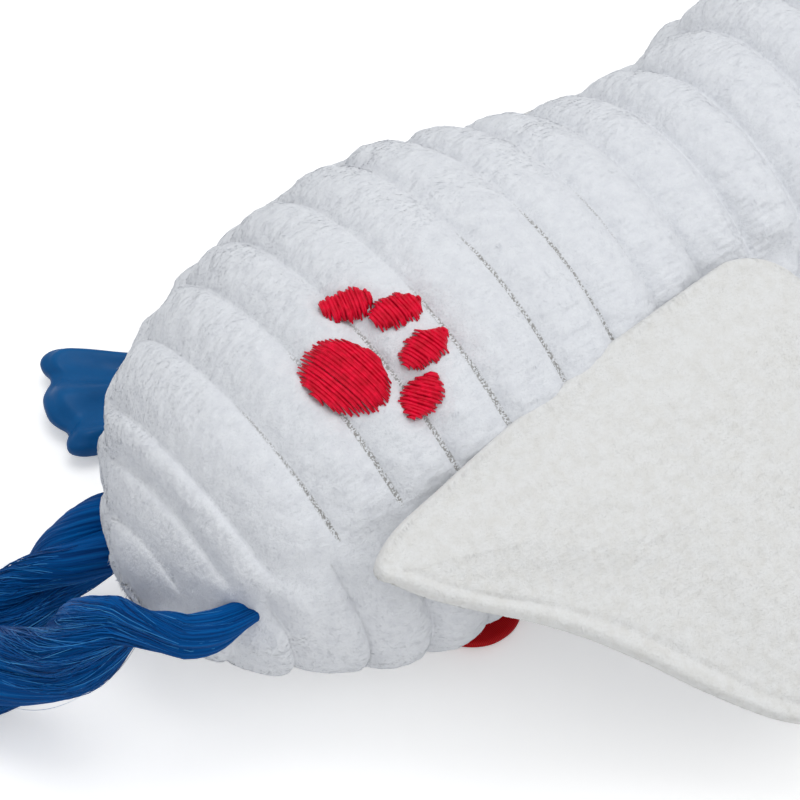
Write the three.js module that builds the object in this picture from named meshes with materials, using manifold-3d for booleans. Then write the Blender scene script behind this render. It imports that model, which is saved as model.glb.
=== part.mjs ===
// A plush goose dog toy: a ribbed stuffed body and neck, two padded wings that flap,
// a rope tug loop through the rump, and two short rope legs with webbed rubber feet.
// Millimetres, +X towards the beak, +Y to the goose's left, +Z up, floor at Z = 0.

import * as THREE from 'three';
import { mergeVertices } from 'three/addons/utils/BufferGeometryUtils.js';
import Module from 'manifold-3d';

const wasm = await Module();
wasm.setup();

// Driving dimensions: body and neck
const body_length = 200;
const body_half_width = 47;
const body_half_height = 43.7;
const neck_start = 212;
const fabric = 1.6;
const rib_depth = 2.6;
const first_rib = 19.7;
const rib_pitch = 11.65;
const rib_growth_share = 0.0056;
const belly_rib_lag = 3;
const belly_settle = 0.8;
const seam_gap = 0.4;
const clearance = 0.35;
const cut_overrun = 60;

// Driving dimensions: head, beak and eyes
const head_length = 68;
const head_width = 54;
const head_height = 56;
const beak_length = 34;
const beak_width = 34;
const beak_height = 22;
const eye_diameter = 9;
const eye_stitch = 0.9;

// Driving dimensions: wings
const wing_root_length = 96;
const wing_span = 70;
const wing_edge = 6;
const wing_crown = 11;
const wing_fabric = 1.4;
const wing_border = 9;

// Driving dimensions: ropes and feet
const rope_diameter = 12;
const rope_channel_gap = 0.9;
const rope_joint_gap = 0.8;
const leg_knot_diameter = 20;
const foot_length = 40;
const foot_width = 38;
const foot_thickness = 5;
const foot_bevel = 1.2;
const toe_ridge = 5;
const foot_collar_wall = 2.2;
const foot_collar_length = 12;

// Driving dimensions: squeaker, label and embroidery
const squeaker_diameter = 42;
const squeaker_wall = 1.6;
const squeaker_neck_diameter = 14;
const squeaker_neck_length = 8;
const reed_length = 10;
const reed_bore = 3;
const reed_flange = 1.5;
const label_width = 14;
const label_length = 12;
const label_tape = 0.6;
const label_fold = 2.4;
const stitch_height = 1;
const paw_pad_width = 17;
const paw_pad_length = 13;
const toe_pad_width = 6.5;
const toe_pad_length = 9;

// Centre line and fullness of the torso from the tail tip to the head, as shares of
// body_length (ahead), body_half_height (up) and body_half_width (full).
const torso_shares = [
  { ahead: 0, up: 0.76, full: 0.005 },
  { ahead: 0.006, up: 0.765, full: 0.19 },
  { ahead: 0.0275, up: 0.78, full: 0.4 },
  { ahead: 0.07, up: 0.81, full: 0.63 },
  { ahead: 0.145, up: 0.89, full: 0.855 },
  { ahead: 0.245, up: 0.965, full: 0.985 },
  { ahead: 0.37, up: 1.045, full: 1 },
  { ahead: 0.495, up: 1.075, full: 0.905 },
  { ahead: 0.62, up: 1.09, full: 0.78 },
  { ahead: 0.745, up: 1.08, full: 0.785 },
  { ahead: 0.87, up: 1.01, full: 0.87 },
  { ahead: 1, up: 0.93, full: 0.942 },
  { ahead: 1.12, up: 1.03, full: 0.87 },
  { ahead: 1.22, up: 1.32, full: 0.7 },
  { ahead: 1.3, up: 1.74, full: 0.54 },
  { ahead: 1.365, up: 2.2, full: 0.47 },
  { ahead: 1.43, up: 2.66, full: 0.46 },
  { ahead: 1.5, up: 3.1, full: 0.45 },
];

// Height of a rib between one valley and the next.
const rib_shape_shares = [
  { along: 0, rise: 0 },
  { along: 0.5, rise: 1 },
];

const torso_sides = 16;
const smooth_step = 2 * rib_pitch;
const rib_count = 25;
const tail_ribs = 2;

function material(color, roughness, metalness = 0) {
  return new THREE.MeshStandardMaterial({ color, roughness, metalness });
}
const white_plush = material('#dcdde2', 0.95);
const cream_plush = material('#e0dfdc', 0.95);
const stuffing_fibre = material('#f1f1ee', 1);
const blue_rope = material('#0a3f78', 0.6);
const blue_rubber = material('#075290', 0.45);
const red_thread = material('#c8102e', 0.55);
const red_satin = material('#8e0a10', 0.4);
const black_thread = material('#16181d', 0.6);
const clear_vinyl = material('#c9cdd0', 0.35);

function bare(geometry) {
  const plain = geometry.clone();
  for (const name of Object.keys(plain.attributes)) {
    if (name !== 'position') {
      plain.deleteAttribute(name);
    }
  }
  return mergeVertices(plain);
}

function toSolid(geometry) {
  const welded = bare(geometry);
  const vertProperties = new Float32Array(welded.attributes.position.array);
  const triVerts = new Uint32Array(welded.index.array);
  return new wasm.Manifold(new wasm.Mesh({ numProp: 3, vertProperties, triVerts }));
}

function toGeometry(solid) {
  const mesh = solid.getMesh();
  const geometry = new THREE.BufferGeometry();
  geometry.setAttribute('position', new THREE.BufferAttribute(new Float32Array(mesh.vertProperties), 3));
  geometry.setIndex(new THREE.BufferAttribute(new Uint32Array(mesh.triVerts), 1));
  geometry.computeVertexNormals();
  return geometry;
}

function unite(solids) {
  return solids.reduce((whole, solid) => whole.add(solid));
}

// A closed loft through rings of equal counts, ended by a fan at each end. Each ring runs
// anticlockwise seen from ahead.
function loft(rings) {
  const sides = rings[0].length;
  const positions = [];
  for (const ring of rings) {
    for (const point of ring) {
      positions.push(point.x, point.y, point.z);
    }
  }
  const index = [];
  for (let r = 0; r + 1 < rings.length; r += 1) {
    for (let k = 0; k < sides; k += 1) {
      const a = r * sides + k;
      const b = r * sides + ((k + 1) % sides);
      index.push(a, b, a + sides, b, b + sides, a + sides);
    }
  }
  for (const [row, start] of [[0, true], [rings.length - 1, false]]) {
    const middle = new THREE.Vector3();
    rings[row].forEach((point) => middle.add(point));
    middle.divideScalar(sides);
    const hub = positions.length / 3;
    positions.push(middle.x, middle.y, middle.z);
    for (let k = 0; k < sides; k += 1) {
      const a = row * sides + k;
      const b = row * sides + ((k + 1) % sides);
      if (start) {
        index.push(hub, b, a);
      } else {
        index.push(hub, a, b);
      }
    }
  }
  const geometry = new THREE.BufferGeometry();
  geometry.setAttribute('position', new THREE.Float32BufferAttribute(positions, 3));
  geometry.setIndex(index);
  return geometry;
}

// The torso's centre line, and its half width, by distance from the tail tip. The underside
// lies pressed flat by belly_settle where it meets the floor.
const torso_line = new THREE.CatmullRomCurve3(
  torso_shares.map(({ ahead, up }) =>
    new THREE.Vector3(ahead * body_length, 0, up * body_half_height - belly_settle)),
);
const torso_fullness = new THREE.CatmullRomCurve3(
  torso_shares.map((row) => new THREE.Vector3(row.ahead, 0, row.full)),
);
const torso_samples = 600;
const torso_marks = [];
{
  let travelled = 0;
  let last = torso_line.getPoint(0);
  for (let n = 0; n <= torso_samples; n += 1) {
    const point = torso_line.getPoint(n / torso_samples);
    travelled += point.distanceTo(last);
    torso_marks.push(travelled);
    last = point;
  }
}
const torso_length = torso_marks[torso_samples];

function torsoAt(distance) {
  const reach = Math.min(Math.max(distance, 0), torso_length);
  let n = torso_marks.findIndex((mark) => mark >= reach);
  n = Math.max(n, 1);
  const blend = (reach - torso_marks[n - 1]) / (torso_marks[n] - torso_marks[n - 1]);
  const t = (n - 1 + blend) / torso_samples;
  const tangent = torso_line.getTangent(t);
  const full = torso_fullness.getPoint(t).z;
  return {
    centre: torso_line.getPoint(t),
    up: new THREE.Vector3(-tangent.z, 0, tangent.x),
    halfWidth: full * body_half_width,
    halfHeight: full * body_half_height,
  };
}

function torsoRing(distance, inset) {
  const { centre, up, halfWidth, halfHeight } = torsoAt(distance);
  const ring = [];
  for (let k = 0; k < torso_sides; k += 1) {
    const angle = (k / torso_sides) * 2 * Math.PI;
    const point = centre.clone();
    point.addScaledVector(up, Math.cos(angle) * (halfHeight - inset));
    point.y -= Math.sin(angle) * (halfWidth - inset);
    ring.push(point);
  }
  return ring;
}

function ribValley(k) {
  return first_rib + rib_pitch * k * (1 + rib_growth_share * k);
}

// The outside of the fabric: a loft whose rings rise and fall with the ribs. At the tail it
// closes over a small cap.
const cap_start = 0.5;
const cap_end = 2.3;
const cap_rib_gap = 3.5;

function ribbedForm(from, to, lag, extra) {
  const rings = [];
  let ribs_from = from + cap_start;
  if (from === 0) {
    rings.push(torsoRing(cap_start, rib_depth / 2 - extra));
    rings.push(torsoRing(cap_end, rib_depth / 4 - extra));
    ribs_from = cap_rib_gap;
  } else {
    rings.push(torsoRing(from, rib_depth - extra));
  }
  for (let k = -tail_ribs; k < rib_count; k += 1) {
    const valley = ribValley(k) - lag;
    const pitch = ribValley(k + 1) - ribValley(k);
    for (const { along, rise } of rib_shape_shares) {
      const distance = valley + along * pitch;
      if (distance > ribs_from && distance < to - cap_start) {
        rings.push(torsoRing(distance, rib_depth * (1 - rise) - extra));
      }
    }
  }
  rings.push(torsoRing(to, rib_depth - extra));
  return toSolid(loft(rings));
}

// A plain loft a given depth inside the outer surface. Forms of different depths share
// their stations, so that one nests in another with an even gap.
const smooth_tip_shares = [0, 0.04, 0.13, 0.3, 0.6];

function firstStation(inset) {
  let start = 0;
  while (torsoAt(start).halfHeight < inset + fabric) {
    start += fabric / 8;
  }
  return start;
}

const lining = rib_depth + fabric;
const body_end = neck_start - clearance / 2;
const neck_from = neck_start + clearance / 2;
const neck_to = torso_length - fabric;

function smoothForm(from, to, inset) {
  const tip = firstStation(lining);
  const shared = [body_end, neck_from, neck_to];
  smooth_tip_shares.forEach((share) => shared.push(tip + share * smooth_step));
  for (let n = 1; n * smooth_step < torso_length; n += 1) {
    shared.push(tip + n * smooth_step);
  }
  const start = Math.max(from, firstStation(inset) + 2 * (inset - lining));
  const margin = clearance / 2;
  const between = shared.filter((distance) => distance > start + margin && distance < to - margin);
  const stations = [start, ...between.sort((a, b) => a - b), to];
  return toSolid(loft(stations.map((distance) => torsoRing(distance, inset))));
}

// The part of a longer curve between two distances along it.
class Stretch extends THREE.Curve {
  constructor(line, from, to) {
    super();
    this.line = line;
    this.whole = line.getLength();
    this.from = from;
    this.to = to;
  }

  getPoint(t) {
    const distance = this.from + (this.to - this.from) * t;
    return this.line.getPointAt(THREE.MathUtils.euclideanModulo(distance / this.whole, 1));
  }
}

// A tube with round sides along a curve, with flat ends.
function tubeGeometry(curve, diameter, step, sides) {
  const steps = Math.ceil(curve.getLength() / step);
  const section = new THREE.Shape();
  for (let k = 0; k < sides; k += 1) {
    const angle = (k / sides) * 2 * Math.PI;
    const x = Math.cos(angle) * (diameter / 2);
    const y = Math.sin(angle) * (diameter / 2);
    if (k === 0) {
      section.moveTo(x, y);
    } else {
      section.lineTo(x, y);
    }
  }
  section.closePath();
  return new THREE.ExtrudeGeometry(section, { steps, extrudePath: curve, bevelEnabled: false });
}

function box(sizeX, sizeY, sizeZ, x, y, z) {
  const geometry = new THREE.BoxGeometry(sizeX, sizeY, sizeZ);
  geometry.translate(x, y, z);
  return toSolid(geometry);
}

const part = new THREE.Group();

function addPiece(name, solidOrGeometry, finish, parent = part) {
  const geometry = solidOrGeometry.isBufferGeometry ? solidOrGeometry : toGeometry(solidOrGeometry);
  const mesh = new THREE.Mesh(geometry, finish);
  mesh.name = name;
  parent.add(mesh);
  return mesh;
}

// Side seam
// The back and belly panels meet along a line that runs over the tail tip, rises to the
// shoulder of the body and comes down to the middle of the neck.
const seam_rise_share = 0.56;
const seam_step = 8;
const seam_drop_length = 70;

function seamPoint(distance) {
  const { centre, up, halfHeight } = torsoAt(distance);
  const drop = seam_drop_length / 2;
  const eased = THREE.MathUtils.smoothstep(distance, neck_start - drop, neck_start + drop);
  return centre.clone().addScaledVector(up, halfHeight * seam_rise_share * (1 - eased));
}

function belowSeam(lift) {
  const outline = new THREE.Shape();
  const tail = seamPoint(0);
  outline.moveTo(tail.x - cut_overrun, -cut_overrun);
  outline.lineTo(tail.x - cut_overrun, tail.z + lift);
  for (let distance = 0; distance < torso_length; distance += seam_step) {
    const point = seamPoint(distance);
    outline.lineTo(point.x, point.z + lift);
  }
  const end = seamPoint(torso_length);
  const direction = torso_line.getTangent(1);
  outline.lineTo(end.x + direction.x * cut_overrun, end.z + direction.z * cut_overrun + lift);
  outline.lineTo(end.x + 2 * cut_overrun, -cut_overrun);
  const depth = 2 * (body_half_width + cut_overrun);
  const geometry = new THREE.ExtrudeGeometry(outline, { depth, bevelEnabled: false });
  geometry.rotateX(Math.PI / 2);
  geometry.translate(0, depth / 2, 0);
  return toSolid(geometry);
}

const floor_slab = box(
  4 * body_length, 4 * body_half_width, cut_overrun,
  body_length / 2, 0, -cut_overrun / 2,
);

// Head form
const head_ahead_share = 0.22;
const head_rise_share = 0.2;
const head_sides = 20;
const head_bands = 12;
const head_centre = torsoAt(torso_length).centre.clone();
head_centre.x += head_length * head_ahead_share;
head_centre.z += head_height * head_rise_share;

function headForm(grow) {
  const geometry = new THREE.SphereGeometry(1, head_sides, head_bands);
  geometry.scale(head_length / 2 + grow, head_width / 2 + grow, head_height / 2 + grow);
  geometry.translate(head_centre.x, head_centre.y, head_centre.z);
  return toSolid(geometry);
}

// Tail rope
// One rope goes through the rump: out on the right, round a loop on the floor, and back
// in lower down on the left. Its middle line is one closed curve.
const rope_inner_route = [
  [13, -25, 46.4], [23, -23, 44.5], [34, -15.5, 41], [40, -2, 37], [36, 11, 32], [25, 18.5, 27.3],
];
const rope_loop_route = [
  [12.5, 21.8, 23.9], [5.5, 25, 20.6], [0.3, 28.3, 16.6], [-3.6, 29.8, 13], [-8, 30.2, 10],
  [-13, 31.6, 7.9], [-20, 36.2, 6.5], [-27, 44, 6.3], [-33, 55.5, 6.3], [-38.5, 67.5, 6.3],
  [-46, 78.5, 6.3], [-57, 84.5, 6.3], [-69.5, 83.5, 6.3], [-79.5, 75.5, 6.3], [-84.5, 63.5, 6.3],
  [-82.5, 51, 6.3], [-74.5, 41.5, 6.3], [-63, 36.5, 6.3], [-51, 33.3, 6.3], [-40, 28.6, 6.5],
  [-31.5, 22.8, 8.3], [-26, 17.5, 11.4], [-21.6, 11.5, 16.4], [-17, 3, 25.2], [-12.6, -4.5, 33.3],
  [-8, -11.3, 40], [-2.6, -17.8, 45], [4.5, -23.3, 47],
];
const rope_sides = 10;
const rope_bend_step = rope_diameter / 2;
const leg_rope_step = 9;

function toPoints(route) {
  return route.map(([x, y, z]) => new THREE.Vector3(x, y, z));
}

function distanceAlong(curve, point) {
  const marks = 2000;
  let best = 0;
  for (let n = 0; n <= marks; n += 1) {
    if (curve.getPointAt(n / marks).distanceTo(point) < curve.getPointAt(best / marks).distanceTo(point)) {
      best = n;
    }
  }
  return (best / marks) * curve.getLength();
}

const rope_line = new THREE.CatmullRomCurve3(toPoints([...rope_loop_route, ...rope_inner_route]), true);
rope_line.arcLengthDivisions = 600;
const rope_round = rope_line.getLength();
const rope_exit = distanceAlong(rope_line, toPoints(rope_loop_route).at(-1));

function ropeTube(from, to, diameter) {
  return tubeGeometry(new Stretch(rope_line, from, to), diameter, rope_bend_step, rope_sides);
}
const rope_hug = 36;
const channel_diameter = rope_diameter + 2 * rope_channel_gap;
const rope_channel = toSolid(ropeTube(rope_exit - rope_hug, rope_round + rope_hug / 2, channel_diameter));

const rope_trim = rope_joint_gap / 2;
addPiece('tail_rope_loop',
  ropeTube(rope_trim, rope_exit - rope_trim, rope_diameter), blue_rope);
addPiece('tail_rope_inner_run',
  ropeTube(rope_exit + rope_trim, rope_round - rope_trim, rope_diameter), blue_rope);

// Leg roots
// Each leg's rope is knotted inside the belly and comes out through a stitched hole as a
// round boss, about which the outer stretch of rope swings.
const leg_station = 101;
const leg_height_share = -0.7;
const leg_stand_off = 2;
const knot_depth = 17;
const boss_sides = 14;
const knot_sides = 12;
const round_sides = 16;

function legPivot(side) {
  const { centre, up, halfWidth, halfHeight } = torsoAt(leg_station);
  const reach = Math.sqrt(1 - leg_height_share ** 2);
  const surface = centre.clone().addScaledVector(up, halfHeight * leg_height_share);
  surface.y += side * halfWidth * reach;
  const outward = new THREE.Vector3(0, (side * reach) / halfWidth, leg_height_share / halfHeight).normalize();
  return { pivot: surface.addScaledVector(outward, leg_stand_off), outward };
}

function rod(from, to, radius, sides) {
  const axis = to.clone().sub(from);
  const geometry = new THREE.CylinderGeometry(radius, radius, axis.length(), sides);
  const upright = new THREE.Vector3(0, 1, 0);
  geometry.applyQuaternion(new THREE.Quaternion().setFromUnitVectors(upright, axis.normalize()));
  geometry.translate((from.x + to.x) / 2, (from.y + to.y) / 2, (from.z + to.z) / 2);
  return toSolid(geometry);
}

function ball(centre, radius, sides) {
  const geometry = new THREE.SphereGeometry(radius, sides, sides / 2);
  geometry.translate(centre.x, centre.y, centre.z);
  return toSolid(geometry);
}

function legRoot(side, grow) {
  const { pivot, outward } = legPivot(side);
  const knot = pivot.clone().addScaledVector(outward, -knot_depth);
  const rope = rope_diameter / 2 + grow;
  return unite([
    ball(pivot, rope, boss_sides),
    rod(knot, pivot, rope, rope_sides),
    ball(knot, leg_knot_diameter / 2 + grow, knot_sides),
  ]);
}
const leg_sockets = [1, -1].map((side) => legRoot(side, rope_channel_gap));

// Squeaker
// A vinyl bulb with a reed in its neck, in a pocket of the stuffing that opens downwards.
const squeaker_station = 82;
const squeaker_centre = torsoAt(squeaker_station).centre;
const bulb_radius = squeaker_diameter / 2;
const neck_radius = squeaker_neck_diameter / 2;
const neck_bore = neck_radius - squeaker_wall;
const pocket_slit = 3;

function turned(profile, sides) {
  const geometry = new THREE.LatheGeometry(profile.map(([r, h]) => new THREE.Vector2(r, h)), sides);
  geometry.rotateZ(-Math.PI / 2);
  geometry.translate(squeaker_centre.x, squeaker_centre.y, squeaker_centre.z);
  return toSolid(geometry);
}

function bulbProfile() {
  const profile = [];
  const arcs = 6;
  const top = Math.acos(neck_radius / bulb_radius);
  const innerRadius = bulb_radius - squeaker_wall;
  const innerTop = Math.acos(neck_bore / innerRadius);
  for (let n = 0; n <= arcs; n += 1) {
    const angle = -Math.PI / 2 + (n / arcs) * (Math.PI / 2 + top);
    profile.push([n === 0 ? 0 : bulb_radius * Math.cos(angle), bulb_radius * Math.sin(angle)]);
  }
  profile.push([neck_radius, bulb_radius + squeaker_neck_length]);
  profile.push([neck_bore, bulb_radius + squeaker_neck_length]);
  for (let n = arcs; n >= 0; n -= 1) {
    const angle = -Math.PI / 2 + (n / arcs) * (Math.PI / 2 + innerTop);
    profile.push([n === 0 ? 0 : innerRadius * Math.cos(angle), innerRadius * Math.sin(angle)]);
  }
  return profile;
}

function reedProfile() {
  const top = bulb_radius + squeaker_neck_length;
  const body = neck_bore - clearance;
  const flangeBase = top + clearance;
  return [
    [reed_bore / 2, top - reed_length], [body, top - reed_length], [body, flangeBase],
    [neck_radius, flangeBase], [neck_radius, flangeBase + reed_flange],
    [reed_bore / 2, flangeBase + reed_flange], [reed_bore / 2, top - reed_length],
  ];
}

const bulb = turned(bulbProfile(), round_sides);
const reed = turned(reedProfile(), round_sides);
addPiece('squeaker_bulb', bulb, clear_vinyl);
addPiece('squeaker_reed', reed, clear_vinyl);
const pocket_end = squeaker_centre.clone();
pocket_end.x += bulb_radius + squeaker_neck_length + reed_flange + 2 * clearance;
const squeaker_pocket = unite([
  ball(squeaker_centre, bulb_radius + 4 * clearance, round_sides),
  rod(squeaker_centre, pocket_end, neck_radius + 2 * clearance, round_sides),
  box(bulb_radius, pocket_slit, cut_overrun, squeaker_centre.x, 0, squeaker_centre.z - cut_overrun / 2),
]);

// Body panels and stuffing
const body_hollow = smoothForm(0, neck_start + fabric, lining);
const above_seam_cut = belowSeam(seam_gap / 2);
const below_seam_cut = belowSeam(-seam_gap / 2);
const back_form = ribbedForm(0, body_end, 0, 0);
const belly_form = ribbedForm(0, body_end, belly_rib_lag, 0);
const body_openings = unite([rope_channel, ...leg_sockets]);

addPiece('body_back_panel',
  back_form.subtract(body_hollow).subtract(above_seam_cut).subtract(body_openings), white_plush);
addPiece('body_belly_panel',
  belly_form.subtract(body_hollow).intersect(below_seam_cut).subtract(body_openings).subtract(floor_slab),
  white_plush);
addPiece('body_stuffing',
  smoothForm(0, body_end, lining + clearance).subtract(body_openings).subtract(squeaker_pocket),
  stuffing_fibre);
addPiece('leg_left_root_knot', legRoot(1, 0), blue_rope);
addPiece('leg_right_root_knot', legRoot(-1, 0), blue_rope);

// Neck panels and stuffing, trimmed where they meet the head
const head_seat = headForm(clearance);
const neck_hollow = smoothForm(neck_start - fabric, torso_length, lining);

const neck_back_form = ribbedForm(neck_from, neck_to, 0, 0);
const neck_front_form = ribbedForm(neck_from, neck_to, belly_rib_lag, 0);

addPiece('neck_back_panel',
  neck_back_form.subtract(neck_hollow).subtract(above_seam_cut).subtract(head_seat), white_plush);
addPiece('neck_front_panel',
  neck_front_form.subtract(neck_hollow).intersect(below_seam_cut).subtract(head_seat).subtract(floor_slab),
  white_plush);
addPiece('neck_stuffing',
  smoothForm(neck_from, neck_to, lining + clearance).subtract(head_seat), stuffing_fibre);

// Head
const head_wall = 3;
const head_shell = headForm(0).subtract(headForm(-head_wall));
const half_space = 2 * (head_length + cut_overrun);

function sideHalf(side) {
  const across = side * (half_space / 2 + seam_gap / 2);
  return box(half_space, half_space, half_space, head_centre.x, across, head_centre.z);
}
addPiece('head_left_panel', head_shell.intersect(sideHalf(1)), white_plush);
addPiece('head_right_panel', head_shell.intersect(sideHalf(-1)), white_plush);
addPiece('head_stuffing', headForm(-head_wall - clearance), stuffing_fibre);

// Beak
const beak_sink = 8;
const mouth_drop_share = 0.12;
const upper_height_share = 0.62;
const lower_beak_share = 0.93;
const beak_root = head_centre.clone();
beak_root.x += head_length / 2 - beak_sink;
beak_root.z -= head_height * mouth_drop_share;

function beakHalf(lengthShare, widthShare, heightShare, direction) {
  const geometry = new THREE.SphereGeometry(1, head_sides, head_bands);
  const reach = beak_length + beak_sink;
  geometry.scale(reach * lengthShare, (beak_width / 2) * widthShare, beak_height * heightShare);
  geometry.translate(beak_root.x, beak_root.y, beak_root.z);
  const middle = beak_root.z + direction * (half_space / 2 + seam_gap / 2);
  return toSolid(geometry)
    .intersect(box(half_space, half_space, half_space, beak_root.x, 0, middle))
    .subtract(head_seat);
}
addPiece('beak_upper', beakHalf(1, 1, upper_height_share, 1), blue_rubber);
addPiece('beak_lower', beakHalf(lower_beak_share, lower_beak_share, 1 - upper_height_share, -1), blue_rubber);

// Eyes: raised satin stitching on the head's sides
const eye_forward_share = 0.38;
const eye_rise_share = 0.3;
const eye_skin = headForm(clearance + eye_stitch).subtract(head_seat);

function eye(side) {
  const centre = head_centre.clone();
  centre.x += (head_length / 2) * eye_forward_share;
  centre.z += (head_height / 2) * eye_rise_share;
  const end = centre.clone();
  end.y += side * head_width;
  return eye_skin.intersect(rod(centre, end, eye_diameter / 2, round_sides));
}
addPiece('eye_left', eye(1), black_thread);
addPiece('eye_right', eye(-1), black_thread);

// Wings
// Each wing is a padded envelope that hinges on its sewn root. Its outline runs round from
// the rear corner, along the trailing edge, the tip and the leading edge: forward as a share
// of wing_root_length, out as a share of wing_span.
const wing_outline_shares = [
  [-0.06, -0.0125], [0.03, 0.067], [0.13, 0.215], [0.22, 0.363], [0.3, 0.555], [0.375, 0.725],
  [0.47, 0.88], [0.55, 0.965], [0.64, 1], [0.74, 0.975], [0.84, 0.88], [0.93, 0.73],
  [0.99, 0.54], [1.03, 0.33], [1.03, 0.14], [0.985, 0], [0.92, -0.025], [0.7, -0.025],
  [0.45, -0.025], [0.2, -0.025], [0.03, -0.025],
];

// The toy lies rolled to its left. The right wing stands out flat from high on its side. The
// left wing hangs from low on its side and bends out over the floor. Droops are in degrees.
const right_back_station = 37;
const right_front_station = 126;
const right_height_share = 0.53;
const right_stand_off = 9.1;
const right_droop = 38;
const left_back_station = 47;
const left_front_station = 136;
const left_back_height_share = -0.1;
const left_front_height_share = 0.19;
const left_back_stand_off = 6.1;
const left_front_stand_off = 2.1;
const left_root_droop = 78.7;
const left_tip_droop = 5;

function wingHingePoint(station, heightShare, standOff, side) {
  const { centre, up, halfWidth, halfHeight } = torsoAt(station);
  const point = centre.clone().addScaledVector(up, halfHeight * heightShare);
  const bodySide = halfWidth * Math.sqrt(1 - heightShare ** 2);
  point.y += side * (bodySide + wing_edge / 2 + clearance + standOff);
  return point;
}

function wingPillow(skin) {
  const outline = wing_outline_shares.map(([forward, out]) =>
    new THREE.Vector3(out * wing_span, forward * wing_root_length, 0));
  const middle = new THREE.Vector3();
  outline.forEach((point) => middle.add(point));
  middle.divideScalar(outline.length);
  const edge = wing_edge / 2;
  const levels = [
    [3 * wing_border, wing_crown / 2], [wing_border, edge + wing_border / 8],
    [edge / 2, edge], [0, edge / 2],
  ];
  const rings = [];
  for (const direction of [-1, 1]) {
    const ordered = direction < 0 ? levels : levels.slice().reverse();
    for (const [inset, height] of ordered) {
      rings.push(outline.map((point) => {
        const arm = point.clone().sub(middle);
        const reach = Math.max(arm.length() - inset - skin, arm.length() / 4);
        const placed = middle.clone().addScaledVector(arm.normalize(), reach);
        const thinned = height > edge ? height - skin : height * (1 - skin / edge);
        placed.z = direction * thinned;
        return placed;
      }));
    }
  }
  return toSolid(loft(rings));
}

function mirrored(solid) {
  const geometry = toGeometry(solid);
  geometry.scale(1, -1, 1);
  const index = geometry.index.array;
  for (let n = 0; n < index.length; n += 3) {
    [index[n], index[n + 1]] = [index[n + 1], index[n]];
  }
  geometry.computeVertexNormals();
  return geometry;
}

// Bends a wing upwards along its span, by a turn in radians that it takes evenly.
function bent(solid, turn) {
  if (turn === 0) {
    return solid;
  }
  const radius = wing_span / turn;
  return solid.warp((vertex) => {
    const angle = Math.max(vertex[0], 0) / radius;
    const arm = radius - vertex[2];
    vertex[0] = Math.min(vertex[0], 0) + arm * Math.sin(angle);
    vertex[2] = radius - arm * Math.cos(angle);
  });
}

function addWing(word, side, back, front, rootDroop, tipDroop) {
  const forward = front.clone().sub(back).normalize();
  const level = new THREE.Vector3(0, side, 0);
  level.addScaledVector(forward, -level.dot(forward)).normalize();
  const rise = new THREE.Vector3().crossVectors(level, forward).multiplyScalar(-side);
  const droop = THREE.MathUtils.degToRad(rootDroop);
  const turn = THREE.MathUtils.degToRad(rootDroop - tipDroop);
  const out = level.clone().multiplyScalar(Math.cos(droop)).addScaledVector(rise, -Math.sin(droop));
  const top = rise.clone().multiplyScalar(Math.cos(droop)).addScaledVector(level, Math.sin(droop));
  const ahead = forward.clone().multiplyScalar(-side);
  const wing = new THREE.Group();
  wing.position.copy(back);
  wing.quaternion.setFromRotationMatrix(new THREE.Matrix4().makeBasis(out, ahead, top));
  part.add(wing);

  const outer = wingPillow(0);
  const envelope = outer.subtract(wingPillow(wing_fabric));
  const size = 2 * (wing_span + wing_root_length);
  const upperHalf = box(size, size, size, 0, 0, size / 2 + seam_gap / 2);
  const lowerHalf = box(size, size, size, 0, 0, -size / 2 - seam_gap / 2);
  const pieces = [
    ['top_panel', envelope.intersect(upperHalf), cream_plush],
    ['under_panel', envelope.intersect(lowerHalf), cream_plush],
    ['padding', wingPillow(wing_fabric + 2 * clearance), stuffing_fibre],
  ];
  for (const [name, flat, finish] of pieces) {
    const solid = bent(flat, turn);
    addPiece(`wing_${word}_${name}`, side < 0 ? solid : mirrored(solid), finish, wing);
  }
}
addWing('left', 1,
  wingHingePoint(left_back_station, left_back_height_share, left_back_stand_off, 1),
  wingHingePoint(left_front_station, left_front_height_share, left_front_stand_off, 1),
  left_root_droop, left_tip_droop);
addWing('right', -1,
  wingHingePoint(right_back_station, right_height_share, right_stand_off, -1),
  wingHingePoint(right_front_station, right_height_share, right_stand_off, -1),
  right_droop, right_droop);

// Legs
// The left leg trails and the right leg reaches forward under the wing.
const collar_bore = rope_diameter / 2 + clearance;
const collar_radius = collar_bore + foot_collar_wall;
const leg_rope_route = [
  [-5, 9, -6], [-12, 15, -8.7], [-19.5, 19.2, -8.7], [-26.1, 22.7, -8.7],
  [-31.7, 24.7, -8.7], [-42.9, 28.8, -8.7],
];
const foot_yaw = 20;
const toe_spread = 23;
const toe_ridge_sides = 8;
const toe_ridge_share = 0.9;
const toe_taper_share = 0.67;

// One side of the webbed foot from the heel to the middle of the front edge, as bends and
// ends of curves: ahead as a share of foot_length, across as a share of half foot_width.
const web_start_share = [0, 0.4];
const web_shares = [
  [[0.4, 0.5], [0.66, 0.95]], [[0.86, 1.08], [0.9, 0.78]],
  [[0.86, 0.5], [0.88, 0.36]], [[1, 0.3], [1, 0]],
];

function legRopePoints(side) {
  const { pivot } = legPivot(side);
  const points = toPoints(leg_rope_route).map((step) =>
    new THREE.Vector3(pivot.x + side * step.x, pivot.y + side * step.y, pivot.z + step.z));
  const away = points[0].clone().sub(pivot).normalize();
  const boss = pivot.clone().addScaledVector(away, rope_diameter / 2 + clearance);
  for (const level of points.slice(-3)) {
    level.z = collar_radius;
  }
  return [boss, ...points];
}

function toeRidge(angle, length) {
  const direction = THREE.MathUtils.degToRad(angle);
  const radius = toe_ridge / 2;
  const geometry = new THREE.CylinderGeometry(radius, radius * toe_taper_share, length, toe_ridge_sides);
  geometry.rotateZ(-Math.PI / 2);
  geometry.translate(length / 2, 0, foot_thickness - foot_bevel / 2);
  geometry.rotateZ(direction);
  return toSolid(geometry);
}

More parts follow.
